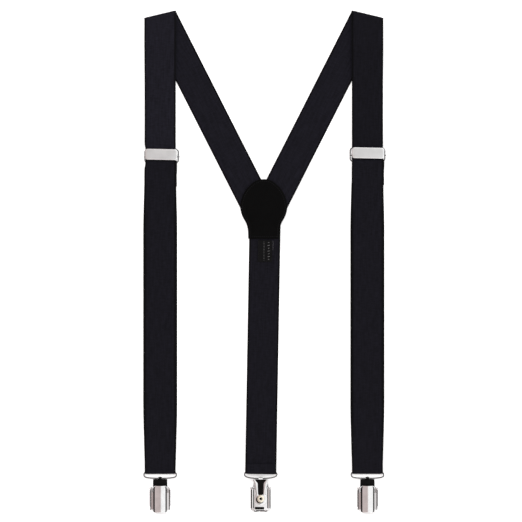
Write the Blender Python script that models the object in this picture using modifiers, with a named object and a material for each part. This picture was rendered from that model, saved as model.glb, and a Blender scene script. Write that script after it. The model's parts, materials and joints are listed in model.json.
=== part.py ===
"""A pair of gentleman's suspenders laid flat: a Y back, two sliders, three clips.

The frame is X across, Y from the clips towards the shoulder folds and Z up from
the surface it lies on. The sizes below are in millimetres.
"""
import math

import bmesh
import bpy
from mathutils import Matrix, Vector

MM = 0.001

# Clearance between two pieces that touch.
GAP = 0.3

# How far a cutting block or a drill reaches past the piece that it cuts.
CUT_REACH = 120.0
CUT_LOW = -5.0
CUT_HIGH = 15.0
DRILL_HALF = 30.0
OVERLAP = 0.1
WELD = 0.01

# Webbing and leather.
WEB_WIDTH = 34.6
WEB_THICK = 1.2
LEATHER_THICK = 1.2
LABEL_THICK = 0.6

# Plan: where the strap centre lines run.
STRAP_X = 113.4
FOLD_Y = 269.7
DIAGONAL_ANGLE = 63.1
STRAP_END_Y = -232.4
CENTRE_SHIFT = (-0.15, -0.49)
BACK_LEAN = 1.0
BACK_TOP_X = 1.6
BACK_TOP_Y = 58.0

# Yoke leather, one half of its outline from the top down.
YOKE_TOP = (0.0, 90.3)
YOKE_SIDE = ((14.6, 84.0), (25.4, 64.0), (24.6, 53.0), (18.2, 39.0))
YOKE_FOOT = (16.9, 25.0)

# Woven label.
LABEL_WIDTH = 16.5
LABEL_TOP = 23.6
LABEL_LENGTH = 24.0
LABEL_X = 0.4
LABEL_LIFT = 0.15

# Layers, as heights of webbing centre lines.
FLOOR_LAYER = WEB_THICK / 2
SECOND_LAYER = FLOOR_LAYER + WEB_THICK + GAP
YOKE_LAYER = LEATHER_THICK + GAP + WEB_THICK / 2

# Where a strap changes level, as distances along it.
DIAGONAL_RISE = (-170.0, -196.0)
DIAGONAL_END = -262.0
UPPER_RAMP = (29.0, 5.0)
EYE_RAMP = (-1.0, -10.0)
OVER_BAR_RAMP = (4.0, -5.7)
OVER_EYE_RAMP = (-3.5, -12.0)
LEAVE_EYE_RAMP = (-2.0, -14.0)
LOWER_RAMP = (34.0, 6.0)
YOKE_RAMP = (24.0, 0.0)
BACK_RAMP = (-150.0, 16.0)
HEM_RAMP = (2.0, 11.0)

# Wire loops and frames.
WIRE_R = 0.8
TURN_R = WIRE_R + GAP + WEB_THICK / 2
TURN_LENGTH = 14.0
LOOP_HALF_WIDTH = 18.9
LOOP_DROP = 7.0
LOOP_SHOULDER = 0.9
LOOP_CORNER = 3.4
TURN_WIDTH = 34.0
BEND_TRIM = 1.0

# Slider.
SLIDER_Y = {"left": 116.9, "right": 118.5}
PLATE_HALF_WIDTH = 18.6
PLATE_HEIGHT = 12.4
PLATE_THICK = 1.0
PLATE_CORNER = 2.2
PLATE_OFFSET_X = 0.15
EAR_THICK = 0.8
PIVOT_BELOW_CENTRE = 2.4
PIVOT_Z = 7.3
PIN_R = 0.8
EAR_R = 1.8
LUG_R = 1.9
GRIP_HALF_WIDTH = 14.0
GRIP_Y = (-3.4, -2.4)
GRIP_LOW = -0.6
FRAME_HALF_WIDTH = 19.4
FRAME_TOP = 6.0
FRAME_BAR = -8.7
FRAME_CORNER = 2.6
FRAME_PIN_OUT = 1.5
TAIL_END_LENGTH = 28.0
EYE_STEP = 2.0
SPLIT_ABOVE_CENTRE = 5.0
FRAME_Z = FLOOR_LAYER + TURN_R

# Clip, measured from the bar that it hangs on.
SHEET = 0.9
EYE_R = WIRE_R + GAP + SHEET
EYE_HALF_WIDTH = 2.5
HANGER_TOP = -1.3
HANGER_SIDE = ((7.9, HANGER_TOP), (7.9, -4.0), (5.0, -12.0), (4.6, -15.6))
HANGER_FOOT_R = 6.8
HANGER_FOOT_START = 42.0
HANGER_Z = (-1.5, -0.6)
RIVET_Y = -22.0
RIVET_HEAD_R = 4.2
RIVET_HEAD_THICK = 0.5
RIVET_SHANK_R = 1.9
RIVET_BORE_R = 1.2
RIVET_TAIL_R = 2.7
RIVET_TAIL_THICK = 0.4
JAW_TOP = -11.2
JAW_FOOT = -34.2
JAW_CORNER = 1.2
JAW_HALF_WIDTH = 11.3
JAW_Z = (-0.3, 0.6)
FLANGE_TOP = 3.9
FLANGE_FOOT = ((1.4, 2.2), (4.0, FLANGE_TOP))
PIVOT_EAR_R = 1.9
PIVOT_Y = -11.0
LEVER_PIVOT_Z = 3.1
LEVER_PIN_R = 0.9
LEVER_HALF_WIDTH = 7.3
LEVER_TOP = -7.9
LEVER_FOOT = -37.1
LEVER_Z = (4.1, 5.1)
LEVER_CROWN = 0.6
LEVER_RIM = 0.35
LEVER_SAG = 0.3
CHEEK_BACK = 2.4
CHEEK_FRONT = -5.0
FRONT_JAW_HALF_WIDTH = 9.9
FRONT_JAW_Z = (2.5, 3.4)
FRONT_JAW_START = -4.2
FRONT_LUG_THICK = 1.6
FRONT_LUG_X = 8.9
FRONT_LUG_END = -4.8
LIP_LENGTH = (1.0, 2.2)
PAD_FROM_FOOT = 0.6
PAD_LENGTH = 6.0
PAD_RIBS = 5
PAD_RIB_HEIGHT = 0.35
PAD_Z = (0.9, 1.9)
PIN_PAST_JAW = 0.4

parts = None
cutters = None


def clear_scene():
    for obj in list(bpy.data.objects):
        bpy.data.objects.remove(obj, do_unlink=True)


def make_collections():
    global parts, cutters
    scene = bpy.context.scene.collection
    parts = bpy.data.collections.new("suspenders")
    cutters = bpy.data.collections.new("cutters")
    scene.children.link(parts)
    scene.children.link(cutters)


def material(name, colour, roughness, metallic=0.0):
    found = bpy.data.materials.get(name)
    if found:
        return found
    mat = bpy.data.materials.new(name)
    mat.use_nodes = True
    shader = mat.node_tree.nodes["Principled BSDF"]
    shader.inputs["Base Color"].default_value = (*colour, 1.0)
    shader.inputs["Roughness"].default_value = roughness
    shader.inputs["Metallic"].default_value = metallic
    return mat


def webbing():
    return material("black_webbing", (0.012, 0.012, 0.016), 0.9)


def leather():
    return material("black_leather", (0.005, 0.005, 0.005), 0.45)


def satin_metal():
    return material("satin_metal", (0.66, 0.66, 0.66), 0.35, 1.0)


def chrome():
    return material("chrome", (0.8, 0.8, 0.8), 0.08, 1.0)


def brass():
    return material("brass", (0.78, 0.62, 0.42), 0.25, 1.0)


def dark_plastic():
    return material("dark_plastic", (0.02, 0.02, 0.02), 0.5)


def label_cloth():
    return material("label_cloth", (0.004, 0.004, 0.004), 0.8)


def empty(name, place, parent=None, turn=(0.0, 0.0, 0.0)):
    """An empty on a joint's axis, or at an assembly's reference point."""
    obj = bpy.data.objects.new(name, None)
    obj.empty_display_size = 5 * MM
    obj.location = Vector(place) * MM
    obj.rotation_euler = [math.radians(a) for a in turn]
    obj.parent = parent
    parts.objects.link(obj)
    return obj


def place(obj, mat, parent):
    """Put an object under its parent, whose frame its mesh is drawn in."""
    obj.data.materials.clear()
    obj.data.materials.append(mat)
    obj.parent = parent
    parts.objects.link(obj)
    return obj


def scaled(points):
    return [tuple(c * MM for c in p) for p in points]


def curve_data(name, dimensions="2D"):
    data = bpy.data.curves.new(name, "CURVE")
    data.dimensions = dimensions
    return data


def add_poly(data, points, cyclic=True):
    spline = data.splines.new("POLY")
    spline.points.add(len(points) - 1)
    for target, point in zip(spline.points, scaled(points)):
        target.co = (point[0], point[1], point[2] if len(point) > 2 else 0.0, 1.0)
    spline.use_cyclic_u = cyclic


def flat_outline(name, outlines, thickness):
    """A sheet centred on its own plane, cut to the first outline, holed by the rest."""
    data = curve_data(name)
    data.fill_mode = "BOTH"
    data.extrude = thickness / 2 * MM
    for points in outlines:
        add_poly(data, points)
    return data


def to_mesh(data, matrix, name):
    """The closed mesh of a curve, with its caps welded to its sides."""
    temp = bpy.data.objects.new(name + "_curve", data)
    bpy.context.scene.collection.objects.link(temp)
    depsgraph = bpy.context.evaluated_depsgraph_get()
    mesh = bpy.data.meshes.new_from_object(temp.evaluated_get(depsgraph))
    bpy.data.objects.remove(temp, do_unlink=True)
    work = bmesh.new()
    work.from_mesh(mesh)
    bmesh.ops.remove_doubles(work, verts=work.verts, dist=WELD * MM)
    bmesh.ops.recalc_face_normals(work, faces=work.faces)
    work.to_mesh(mesh)
    work.free()
    mesh.transform(matrix)
    mesh.name = name
    return mesh


# A side outline is drawn as (y, z) and stands across X.
SIDE_TO_WORLD = Matrix(((0, 0, 1, 0), (1, 0, 0, 0), (0, 1, 0, 0), (0, 0, 0, 1)))


def side_solid(name, outline, width, x=0.0):
    """A solid as wide as `width` along X with the given (y, z) outline."""
    data = flat_outline(name, [outline], width)
    matrix = Matrix.Translation((x * MM, 0, 0)) @ SIDE_TO_WORLD
    return bpy.data.objects.new(name, to_mesh(data, matrix, name))


def plan_solid(name, outlines, bottom, top):
    """A solid between two heights with the given (x, y) outlines."""
    data = flat_outline(name, outlines, top - bottom)
    matrix = Matrix.Translation((0, 0, (bottom + top) / 2 * MM))
    return bpy.data.objects.new(name, to_mesh(data, matrix, name))


def tube_solid(name, points, radius):
    """A closed ring of round wire through plan points at one height."""
    data = curve_data(name, "3D")
    data.bevel_depth = radius * MM
    data.bevel_resolution = 2
    add_poly(data, points)
    return bpy.data.objects.new(name, to_mesh(data, Matrix.Identity(4), name))


def box(name, low, high):
    """A plain block between two corners."""
    mesh = bpy.data.meshes.new(name)
    work = bmesh.new()
    bmesh.ops.create_cube(work, size=1.0)
    size = [(b - a) * MM for a, b in zip(low, high)]
    centre = [(a + b) / 2 * MM for a, b in zip(low, high)]
    bmesh.ops.scale(work, vec=size, verts=work.verts)
    bmesh.ops.translate(work, vec=centre, verts=work.verts)
    work.to_mesh(mesh)
    work.free()
    return bpy.data.objects.new(name, mesh)


def rod(name, radius, half_length, centre, axis="X", segments=20):
    """A round bar about X or Z."""
    mesh = bpy.data.meshes.new(name)
    work = bmesh.new()
    bmesh.ops.create_cone(work, cap_ends=True, segments=segments, radius1=radius * MM,
                          radius2=radius * MM, depth=2 * half_length * MM)
    if axis == "X":
        bmesh.ops.rotate(work, cent=(0, 0, 0), verts=work.verts,
                         matrix=Matrix.Rotation(math.pi / 2, 3, "Y"))
    bmesh.ops.translate(work, vec=Vector(centre) * MM, verts=work.verts)
    work.to_mesh(mesh)
    work.free()
    return bpy.data.objects.new(name, mesh)


def combine(obj, tool, operation):
    """Join a hidden tool to a piece, or cut the piece with it."""
    if tool.name not in cutters.objects:
        cutters.objects.link(tool)
        tool.parent = obj.parent
        tool.hide_render = True
        tool.display_type = "WIRE"
    step = obj.modifiers.new(tool.name, "BOOLEAN")
    step.operation = operation
    step.solver = "EXACT"
    step.object = tool


def soften(obj, width, segments=1, angle=40.0):
    """Round the edges of a pressed metal piece."""
    step = obj.modifiers.new("edge", "BEVEL")
    step.width = width * MM
    step.segments = segments
    step.limit_method = "ANGLE"
    step.angle_limit = math.radians(angle)


def ease(a, b, share):
    return a + (b - a) * share * share * (3 - 2 * share)


def ramp(start, end, steps=6):
    """Centre-line points that leave one height level and reach another level."""
    (y0, z0), (y1, z1) = start, end
    return [(y0 + (y1 - y0) * i / steps, ease(z0, z1, i / steps)) for i in range(steps + 1)]


def arc(centre, radius, start, end, steps):
    """Points along an arc, with angles in degrees."""
    out = []
    for i in range(steps + 1):
        angle = math.radians(start + (end - start) * i / steps)
        out.append((centre[0] + radius * math.cos(angle), centre[1] + radius * math.sin(angle)))
    return out


def ribbon(path, thickness):
    """The closed outline of a band of the given thickness along a centre line."""
    clean = [path[0]]
    for point in path[1:]:
        if math.dist(point, clean[-1]) > 0.05:
            clean.append(point)
    left, right = [], []
    for i, (y, z) in enumerate(clean):
        before = Vector(clean[max(i - 1, 0)])
        after = Vector(clean[min(i + 1, len(clean) - 1)])
        along = (after - before).normalized()
        side = Vector((-along.y, along.x)) * thickness / 2
        left.append((y + side.x, z + side.y))
        right.append((y - side.x, z - side.y))
    return left + right[::-1]


def rounded_rectangle(half_width, low, high, corner, top_corner=None, steps=4):
    """Plan points round a rectangle with round corners."""
    top = top_corner or corner
    out = []
    for x, y, radius, start in ((half_width - top, high - top, top, 0),
                                (top - half_width, high - top, top, 90),
                                (corner - half_width, low + corner, corner, 180),
                                (half_width - corner, low + corner, corner, 270)):
        out += arc((x, y), radius, start, start + 90, steps)
    return out


def side_sign(side):
    return -1.0 if side == "left" else 1.0


def fold_tilt():
    return (90.0 - DIAGONAL_ANGLE) / 2


def fold_cutter(name, side):
    """A block beyond the shoulder's fold line, starting half a clearance short of it."""
    tool = box(name, (-CUT_REACH / 2, -GAP / 2, CUT_LOW), (CUT_REACH / 2, CUT_REACH / 2, CUT_HIGH))
    turn = Matrix.Rotation(math.radians(-side_sign(side) * fold_tilt()), 4, "Z")
    shift = Matrix.Translation((side_sign(side) * STRAP_X * MM, FOLD_Y * MM, 0))
    tool.data.transform(shift @ turn)
    return tool


def make_diagonal(side, root):
    """The strap from the shoulder fold down to the yoke, with its end in the yoke."""
    sign = side_sign(side)
    start, end = DIAGONAL_RISE
    path = [(CUT_REACH / 3, FLOOR_LAYER)] + ramp((start, FLOOR_LAYER), (end, YOKE_LAYER))
    path.append((DIAGONAL_END, YOKE_LAYER))
    obj = side_solid(side + "_diagonal_strap", ribbon(path, WEB_THICK), WEB_WIDTH)
    lean = Matrix.Rotation(math.radians(-sign * (90.0 - DIAGONAL_ANGLE)), 4, "Z")
    obj.data.transform(Matrix.Translation((sign * STRAP_X * MM, FOLD_Y * MM, 0)) @ lean)
    place(obj, webbing(), root)
    combine(obj, fold_cutter(side + "_diagonal_fold_cut", side), "DIFFERENCE")
    near, far = (-GAP / 2, CUT_REACH) if side == "left" else (-CUT_REACH, GAP / 2)
    middle = box(side + "_diagonal_middle_cut", (near, -CUT_REACH, CUT_LOW), (far, CUT_REACH, CUT_HIGH))
    combine(obj, middle, "DIFFERENCE")
    below = box(side + "_diagonal_foot_cut", (-CUT_REACH, -CUT_REACH, CUT_LOW),
                (CUT_REACH, BACK_TOP_Y + GAP, CUT_HIGH))
    combine(obj, below, "DIFFERENCE")


def make_bend(side, root):
    """The webbing's half turn over the shoulder's fold line."""
    sign = side_sign(side)
    middle = (FLOOR_LAYER + SECOND_LAYER) / 2
    radius = (SECOND_LAYER - FLOOR_LAYER) / 2
    path = arc((GAP / 2, middle), radius, 90, -90, 8)
    width = WEB_WIDTH / math.cos(math.radians(fold_tilt())) - BEND_TRIM
    obj = side_solid(side + "_shoulder_bend", ribbon(path, WEB_THICK), width)
    turn = Matrix.Rotation(math.radians(-sign * fold_tilt()), 4, "Z")
    obj.data.transform(Matrix.Translation((sign * STRAP_X * MM, FOLD_Y * MM, 0)) @ turn)
    place(obj, webbing(), root)


def strap_over_wire():
    """Centre-line height of the front strap where it lies on the slider's frame."""
    return FRAME_Z + WIRE_R + GAP + WEB_THICK / 2


def front_ribbon(name, side, path, parent):
    """A length of front strap along (y, z) centre-line points."""
    obj = side_solid(name, ribbon(path, WEB_THICK), WEB_WIDTH)
    obj.data.transform(Matrix.Translation((side_sign(side) * STRAP_X * MM, 0, 0)))
    return place(obj, webbing(), parent)


def make_upper_strap(side, parent):
    """The front strap from the shoulder fold down into the slider."""
    split = SLIDER_Y[side] + SPLIT_ABOVE_CENTRE
    start, end = UPPER_RAMP
    path = [(FOLD_Y + CUT_REACH / 4, SECOND_LAYER)]
    path += ramp((split + start, SECOND_LAYER), (split + end, strap_over_wire()), 5)
    path.append((split + GAP / 2, strap_over_wire()))
    obj = front_ribbon(side + "_front_strap_upper", side, path, parent)
    combine(obj, fold_cutter(side + "_front_fold_cut", side), "DIFFERENCE")


def make_lower_strap(side, parent):
    """The front strap from the slider, over the tail's sewn end, to just above the clip."""
    y = SLIDER_Y[side]
    foot = STRAP_END_Y + TURN_LENGTH + GAP
    top_leg = FLOOR_LAYER + 2 * TURN_R
    over_bar = FRAME_Z + TURN_R + WEB_THICK + GAP
    over_end = SECOND_LAYER + WEB_THICK + GAP
    bar = y + FRAME_BAR
    end = bar - TAIL_END_LENGTH
    path = [(y + SPLIT_ABOVE_CENTRE - GAP / 2, strap_over_wire())]
    path += ramp((y + OVER_BAR_RAMP[0], strap_over_wire()), (y + OVER_BAR_RAMP[1], over_bar), 5)
    path += ramp((bar + OVER_EYE_RAMP[0], over_bar), (bar + OVER_EYE_RAMP[1], over_end), 5)
    path += ramp((end + LEAVE_EYE_RAMP[0], over_end), (end + LEAVE_EYE_RAMP[1], SECOND_LAYER), 5)
    path += ramp((foot + LOWER_RAMP[0], SECOND_LAYER), (foot + LOWER_RAMP[1], top_leg), 5)
    path.append((foot, top_leg))
    front_ribbon(side + "_front_strap_lower", side, path, parent)


def make_turn(side, parent):
    """The webbing round the clip's loop."""
    bar = STRAP_END_Y + TURN_R + WEB_THICK / 2
    middle = FLOOR_LAYER + TURN_R
    reach = STRAP_END_Y + TURN_LENGTH
    path = [(reach, middle + TURN_R)] + arc((bar, middle), TURN_R, 90, 270, 10)
    path.append((reach, FLOOR_LAYER))
    obj = side_solid(side + "_strap_turn", ribbon(path, WEB_THICK), TURN_WIDTH)
    obj.data.transform(Matrix.Translation((side_sign(side) * STRAP_X * MM, 0, 0)))
    place(obj, webbing(), parent)


def make_tail(side, parent):
    """The webbing behind the front strap, from the clip up towards the slider."""
    low = STRAP_END_Y + TURN_LENGTH + GAP
    high = SLIDER_Y[side] + FRAME_BAR - TAIL_END_LENGTH - EYE_STEP
    obj = box(side + "_tail", (-WEB_WIDTH / 2, low, 0), (WEB_WIDTH / 2, high, WEB_THICK))
    obj.data.transform(Matrix.Translation((side_sign(side) * STRAP_X * MM, 0, 0)))
    place(obj, webbing(), parent)


def make_tail_end(side, parent):
    """The tail's sewn eye round the slider's lower bar."""
    bar = SLIDER_Y[side] + FRAME_BAR
    low = bar - TAIL_END_LENGTH - EYE_STEP + GAP
    path = [(low, FLOOR_LAYER)] + arc((bar, FRAME_Z), TURN_R, -90, 90, 10)
    path += ramp((bar + EYE_RAMP[0], FRAME_Z + TURN_R), (bar + EYE_RAMP[1], SECOND_LAYER), 5)
    path.append((bar - TAIL_END_LENGTH + EYE_STEP, SECOND_LAYER))
    obj = side_solid(side + "_tail_end", ribbon(path, WEB_THICK), WEB_WIDTH)
    obj.data.transform(Matrix.Translation((side_sign(side) * STRAP_X * MM, 0, 0)))
    place(obj, webbing(), parent)


def make_slider(side, parent):
    """The wire frame, its pin and the cover plate that grips the strap."""
    x = side_sign(side) * STRAP_X + PLATE_OFFSET_X
    y = SLIDER_Y[side]
    pivot = y - PIVOT_BELOW_CENTRE
    ring = rounded_rectangle(FRAME_HALF_WIDTH, y + FRAME_BAR, y + FRAME_TOP, FRAME_CORNER)
    frame = tube_solid(side + "_slider_frame", [(a + x, b, FRAME_Z) for a, b in ring], WIRE_R)
    place(frame, satin_metal(), parent)
    inner = PLATE_HALF_WIDTH + GAP
    for word, sign in (("west", -1.0), ("east", 1.0)):
        near, far = sorted((x + sign * inner, x + sign * (inner + EAR_THICK)))
        outline = arc((pivot, PIVOT_Z), EAR_R, 0, 180, 8)
        outline += [(pivot - EAR_R, FRAME_Z), (pivot + EAR_R, FRAME_Z)]
        ear = side_solid(f"{side}_frame_ear_{word}", outline, far - near, (near + far) / 2)
        combine(frame, ear, "UNION")
    hole = rod(side + "_frame_pin_hole", PIN_R + GAP, DRILL_HALF, (x, pivot, PIVOT_Z))
    combine(frame, hole, "DIFFERENCE")
    reach = FRAME_HALF_WIDTH + FRAME_PIN_OUT
    pin = rod(side + "_slider_pin", PIN_R, reach, (x, pivot, PIVOT_Z), segments=16)
    place(pin, satin_metal(), parent)


def make_cover(side, parent):
    """The slider's front plate, drawn about its hinge."""
    low = PIVOT_BELOW_CENTRE - PLATE_HEIGHT / 2
    bottom = PIN_R + GAP + OVERLAP
    joined = bottom + PLATE_THICK / 2
    plate = plan_solid(side + "_slider_cover",
                       [rounded_rectangle(PLATE_HALF_WIDTH, low, low + PLATE_HEIGHT, PLATE_CORNER)],
                       bottom, bottom + PLATE_THICK)
    place(plate, satin_metal(), parent)
    for word, sign in (("west", -1.0), ("east", 1.0)):
        centre = sign * (PLATE_HALF_WIDTH - EAR_THICK / 2 - OVERLAP / 2)
        outline = arc((0, 0), LUG_R, 180, 360, 8)
        outline += [(LUG_R, joined), (-LUG_R, joined)]
        lug = side_solid(f"{side}_cover_lug_{word}", outline, EAR_THICK - OVERLAP, centre)
        combine(plate, lug, "UNION")
    grip = box(side + "_cover_grip", (-GRIP_HALF_WIDTH, GRIP_Y[0], GRIP_LOW),
               (GRIP_HALF_WIDTH, GRIP_Y[1], joined))
    combine(plate, grip, "UNION")
    hole = rod(side + "_cover_pin_hole", PIN_R + GAP, DRILL_HALF, (0, 0, 0))
    combine(plate, hole, "DIFFERENCE")
    soften(plate, 0.25)


def make_loop(name, parent):
    """The wire loop, drawn about the bar that the webbing turns round."""
    ring = rounded_rectangle(LOOP_HALF_WIDTH - WIRE_R, -LOOP_DROP, 0.0, LOOP_CORNER, LOOP_SHOULDER)
    loop = tube_solid(name + "_loop", [(x, y, 0.0) for x, y in ring], WIRE_R)
    place(loop, chrome(), parent)


def hanger_outline():
    """Half of the hanger from its eye down to its round foot, as plan points."""
    foot = arc((0.0, RIVET_Y), HANGER_FOOT_R, HANGER_FOOT_START, -90, 10)
    tongue = EYE_HALF_WIDTH - OVERLAP * 3
    half = [(tongue, 0.0), (tongue, HANGER_TOP), *HANGER_SIDE] + foot
    return half + [(-x, y) for x, y in half[::-1][1:]]


def make_hanger(name, parent):
    """The pressed strip that hooks on the loop and carries the jaws."""
    hanger = plan_solid(name + "_hanger", [hanger_outline()], *HANGER_Z)
    place(hanger, chrome(), parent)
    eye = rod(name + "_hanger_eye", EYE_R, EYE_HALF_WIDTH, (0, 0, 0))
    combine(hanger, eye, "UNION")
    combine(hanger, rod(name + "_hanger_bore", WIRE_R + GAP, DRILL_HALF, (0, 0, 0)), "DIFFERENCE")
    combine(hanger, rivet_drill(name + "_hanger_rivet_hole"), "DIFFERENCE")


def rivet_drill(name):
    return rod(name, RIVET_SHANK_R + GAP, SHEET * 3, (0, RIVET_Y, 0), "Z")


def make_rivet(name, parent):
    """The hollow rivet through the hanger and the rear jaw."""
    head_high = HANGER_Z[0] - GAP
    head_low = head_high - RIVET_HEAD_THICK
    top_low = JAW_Z[1] + GAP
    top_high = top_low + RIVET_TAIL_THICK
    edge = RIVET_HEAD_THICK / 2
    profile = [(RIVET_BORE_R, head_low), (RIVET_HEAD_R - edge, head_low), (RIVET_HEAD_R, head_low + edge),
               (RIVET_HEAD_R, head_high), (RIVET_SHANK_R, head_high), (RIVET_SHANK_R, top_low),
               (RIVET_TAIL_R, top_low), (RIVET_TAIL_R, top_high), (RIVET_BORE_R, top_high)]
    mesh = bpy.data.meshes.new(name + "_rivet")
    loop = [(r * MM, 0.0, z * MM) for r, z in profile[::-1]]
    edges = [(i, (i + 1) % len(loop)) for i in range(len(loop))]
    mesh.from_pydata(loop, edges, [])
    rivet = bpy.data.objects.new(name + "_rivet", mesh)
    rivet.location = (0.0, RIVET_Y * MM, 0.0)
    turn = rivet.modifiers.new("turned", "SCREW")
    turn.steps = 20
    turn.render_steps = 20
    turn.use_merge_vertices = True
    turn.merge_threshold = WELD * MM
    place(rivet, brass(), parent)


def make_rear_jaw(name, parent):
    """The wide jaw plate with a flange down each side."""
    half = JAW_HALF_WIDTH
    outline = [(-half, JAW_FOOT + JAW_CORNER), (-half, JAW_TOP), (half, JAW_TOP),
               (half, JAW_FOOT + JAW_CORNER), (half - JAW_CORNER, JAW_FOOT),
               (-half + JAW_CORNER, JAW_FOOT)]
    jaw = plan_solid(name + "_rear_jaw", [outline], *JAW_Z)
    place(jaw, chrome(), parent)
    low = JAW_Z[0] + OVERLAP
    ear = arc((PIVOT_Y, LEVER_PIVOT_Z), PIVOT_EAR_R, 90, 0, 4) + [(PIVOT_Y + PIVOT_EAR_R, low)]
    flange = [(JAW_FOOT + FLANGE_FOOT[0][0], low)]
    flange += [(JAW_FOOT + y, z) for y, z in FLANGE_FOOT]
    for word, sign in (("west", -1.0), ("east", 1.0)):
        centre = sign * (half - SHEET / 2 - WELD * 2)
        wall = side_solid(f"{name}_jaw_flange_{word}", ear + flange, SHEET, centre)
        combine(jaw, wall, "UNION")
    pin = rod(name + "_jaw_pin_hole", LEVER_PIN_R + GAP, DRILL_HALF, (0, PIVOT_Y, LEVER_PIVOT_Z))
    combine(jaw, pin, "DIFFERENCE")
    combine(jaw, rivet_drill(name + "_jaw_rivet_hole"), "DIFFERENCE")


def make_pad(name, parent):
    """The ribbed insert that the trouser cloth is gripped against."""
    low = JAW_FOOT + PAD_FROM_FOOT
    pitch = PAD_LENGTH / PAD_RIBS
    valley = PAD_Z[1] - PAD_RIB_HEIGHT
    outline = [(low, PAD_Z[0])]
    for i in range(PAD_RIBS):
        outline += [(low + i * pitch, valley), (low + (i + 0.5) * pitch, PAD_Z[1])]
    outline += [(low + PAD_LENGTH, valley), (low + PAD_LENGTH, PAD_Z[0])]
    pad = side_solid(name + "_jaw_pad", outline, 2 * FRONT_JAW_HALF_WIDTH)
    place(pad, dark_plastic(), parent)


def make_front_jaw(name, parent):
    """The inner jaw that the lever presses on the cloth, drawn about the lever's pin."""
    foot = JAW_FOOT + PAD_FROM_FOOT / 2 - PIVOT_Y
    low, high = [z - LEVER_PIVOT_Z for z in FRONT_JAW_Z]
    lip = PAD_Z[1] + GAP - LEVER_PIVOT_Z
    outline = [(FRONT_JAW_START, high), (FRONT_JAW_START, low), (foot + LIP_LENGTH[1], low),
               (foot + LIP_LENGTH[0], lip), (foot, lip), (foot, high)]
    jaw = side_solid(name + "_front_jaw", outline, 2 * FRONT_JAW_HALF_WIDTH)
    place(jaw, chrome(), parent)
    for word, sign in (("west", -1.0), ("east", 1.0)):
        lug_outline = arc((0, 0), PIVOT_EAR_R, 90, -90, 8)
        lug_outline += [(FRONT_LUG_END, low + OVERLAP), (FRONT_LUG_END, high - OVERLAP)]
        lug = side_solid(f"{name}_front_lug_{word}", lug_outline, FRONT_LUG_THICK, sign * FRONT_LUG_X)
        combine(jaw, lug, "UNION")
    combine(jaw, rod(name + "_front_pin_hole", LEVER_PIN_R + GAP, DRILL_HALF, (0, 0, 0)), "DIFFERENCE")


def make_lever(name, parent):
    """The crowned lever with two cheeks on the pin."""
    high = LEVER_TOP - PIVOT_Y
    low = LEVER_FOOT - PIVOT_Y
    bottom = LEVER_Z[0] - LEVER_PIVOT_Z
    top = LEVER_Z[1] - LEVER_PIVOT_Z
    steps = 8
    outline = []
    for i in range(steps + 1):
        share = i / steps * 2 - 1
        outline.append((share * LEVER_HALF_WIDTH, top + LEVER_CROWN * (1 - share * share) - LEVER_RIM))
    for i in range(steps + 1):
        share = 1 - i / steps * 2
        outline.append((share * LEVER_HALF_WIDTH, bottom + LEVER_CROWN * (1 - share * share) - LEVER_SAG))
    data = flat_outline(name + "_lever", [outline], high - low)
    stand = Matrix.Translation((0, (high + low) / 2 * MM, 0)) @ Matrix.Rotation(math.pi / 2, 4, "X")
    lever = bpy.data.objects.new(name + "_lever", to_mesh(data, stand, name + "_lever"))
    place(lever, chrome(), parent)
    for word, sign in (("west", -1.0), ("east", 1.0)):
        cheek_outline = arc((0, 0), PIVOT_EAR_R, 180, 360, 8)
        cheek_outline += [(CHEEK_BACK, bottom), (CHEEK_FRONT, bottom)]
        cheek = side_solid(f"{name}_cheek_{word}", cheek_outline, SHEET,
                           sign * (LEVER_HALF_WIDTH - SHEET / 2 - OVERLAP))
        combine(lever, cheek, "UNION")
    combine(lever, rod(name + "_lever_pin_hole", LEVER_PIN_R + GAP, DRILL_HALF, (0, 0, 0)), "DIFFERENCE")
    soften(lever, 0.3, angle=50.0)


def make_clip(name, base, flipped):
    """One clip on the end of a strap: loop, hanger, jaws and lever.

    `base` is the bar that the webbing turns round. A flipped clip shows its back.
    """
    turn = (0.0, 180.0 if flipped else 0.0, 0.0)
    loop_axis = empty(name + "_loop_axis", base, None, turn)
    make_loop(name, loop_axis)
    clip_axis = empty(name + "_clip_axis", (0.0, -LOOP_DROP, 0.0), loop_axis)
    make_hanger(name, clip_axis)
    make_rivet(name, clip_axis)
    make_rear_jaw(name, clip_axis)
    make_pad(name, clip_axis)
    lever_axis = empty(name + "_lever_axis", (0.0, PIVOT_Y, LEVER_PIVOT_Z), clip_axis)
    make_front_jaw(name, lever_axis)
    make_lever(name, lever_axis)
    pin = rod(name + "_lever_pin", LEVER_PIN_R, JAW_HALF_WIDTH + PIN_PAST_JAW, (0, 0, 0), segments=16)
    place(pin, chrome(), lever_axis)
    return loop_axis


def back_clip_height():
    """The back clip lies on its lever, so its bar stands this high."""
    return LEVER_Z[1] + LEVER_CROWN - LEVER_RIM


def make_back_strap(root):
    """The single strap from the yoke down to the back clip, its end sewn back on itself."""
    bar = STRAP_END_Y + TURN_R + WEB_THICK / 2
    middle = back_clip_height()
    low = middle - TURN_R
    path = [(BACK_TOP_Y, YOKE_LAYER)] + ramp((YOKE_RAMP[0], YOKE_LAYER), (YOKE_RAMP[1], FLOOR_LAYER), 6)
    path += ramp((BACK_RAMP[0], FLOOR_LAYER), (bar + BACK_RAMP[1], low), 8)
    path += arc((bar, middle), TURN_R, 270, 90, 10)
    path += ramp((bar + HEM_RAMP[0], middle + TURN_R), (bar + HEM_RAMP[1], low + WEB_THICK + GAP), 5)
    obj = side_solid("back_strap", ribbon(path, WEB_THICK), TURN_WIDTH)
    obj.data.transform(lean_matrix())
    place(obj, webbing(), root)


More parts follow.
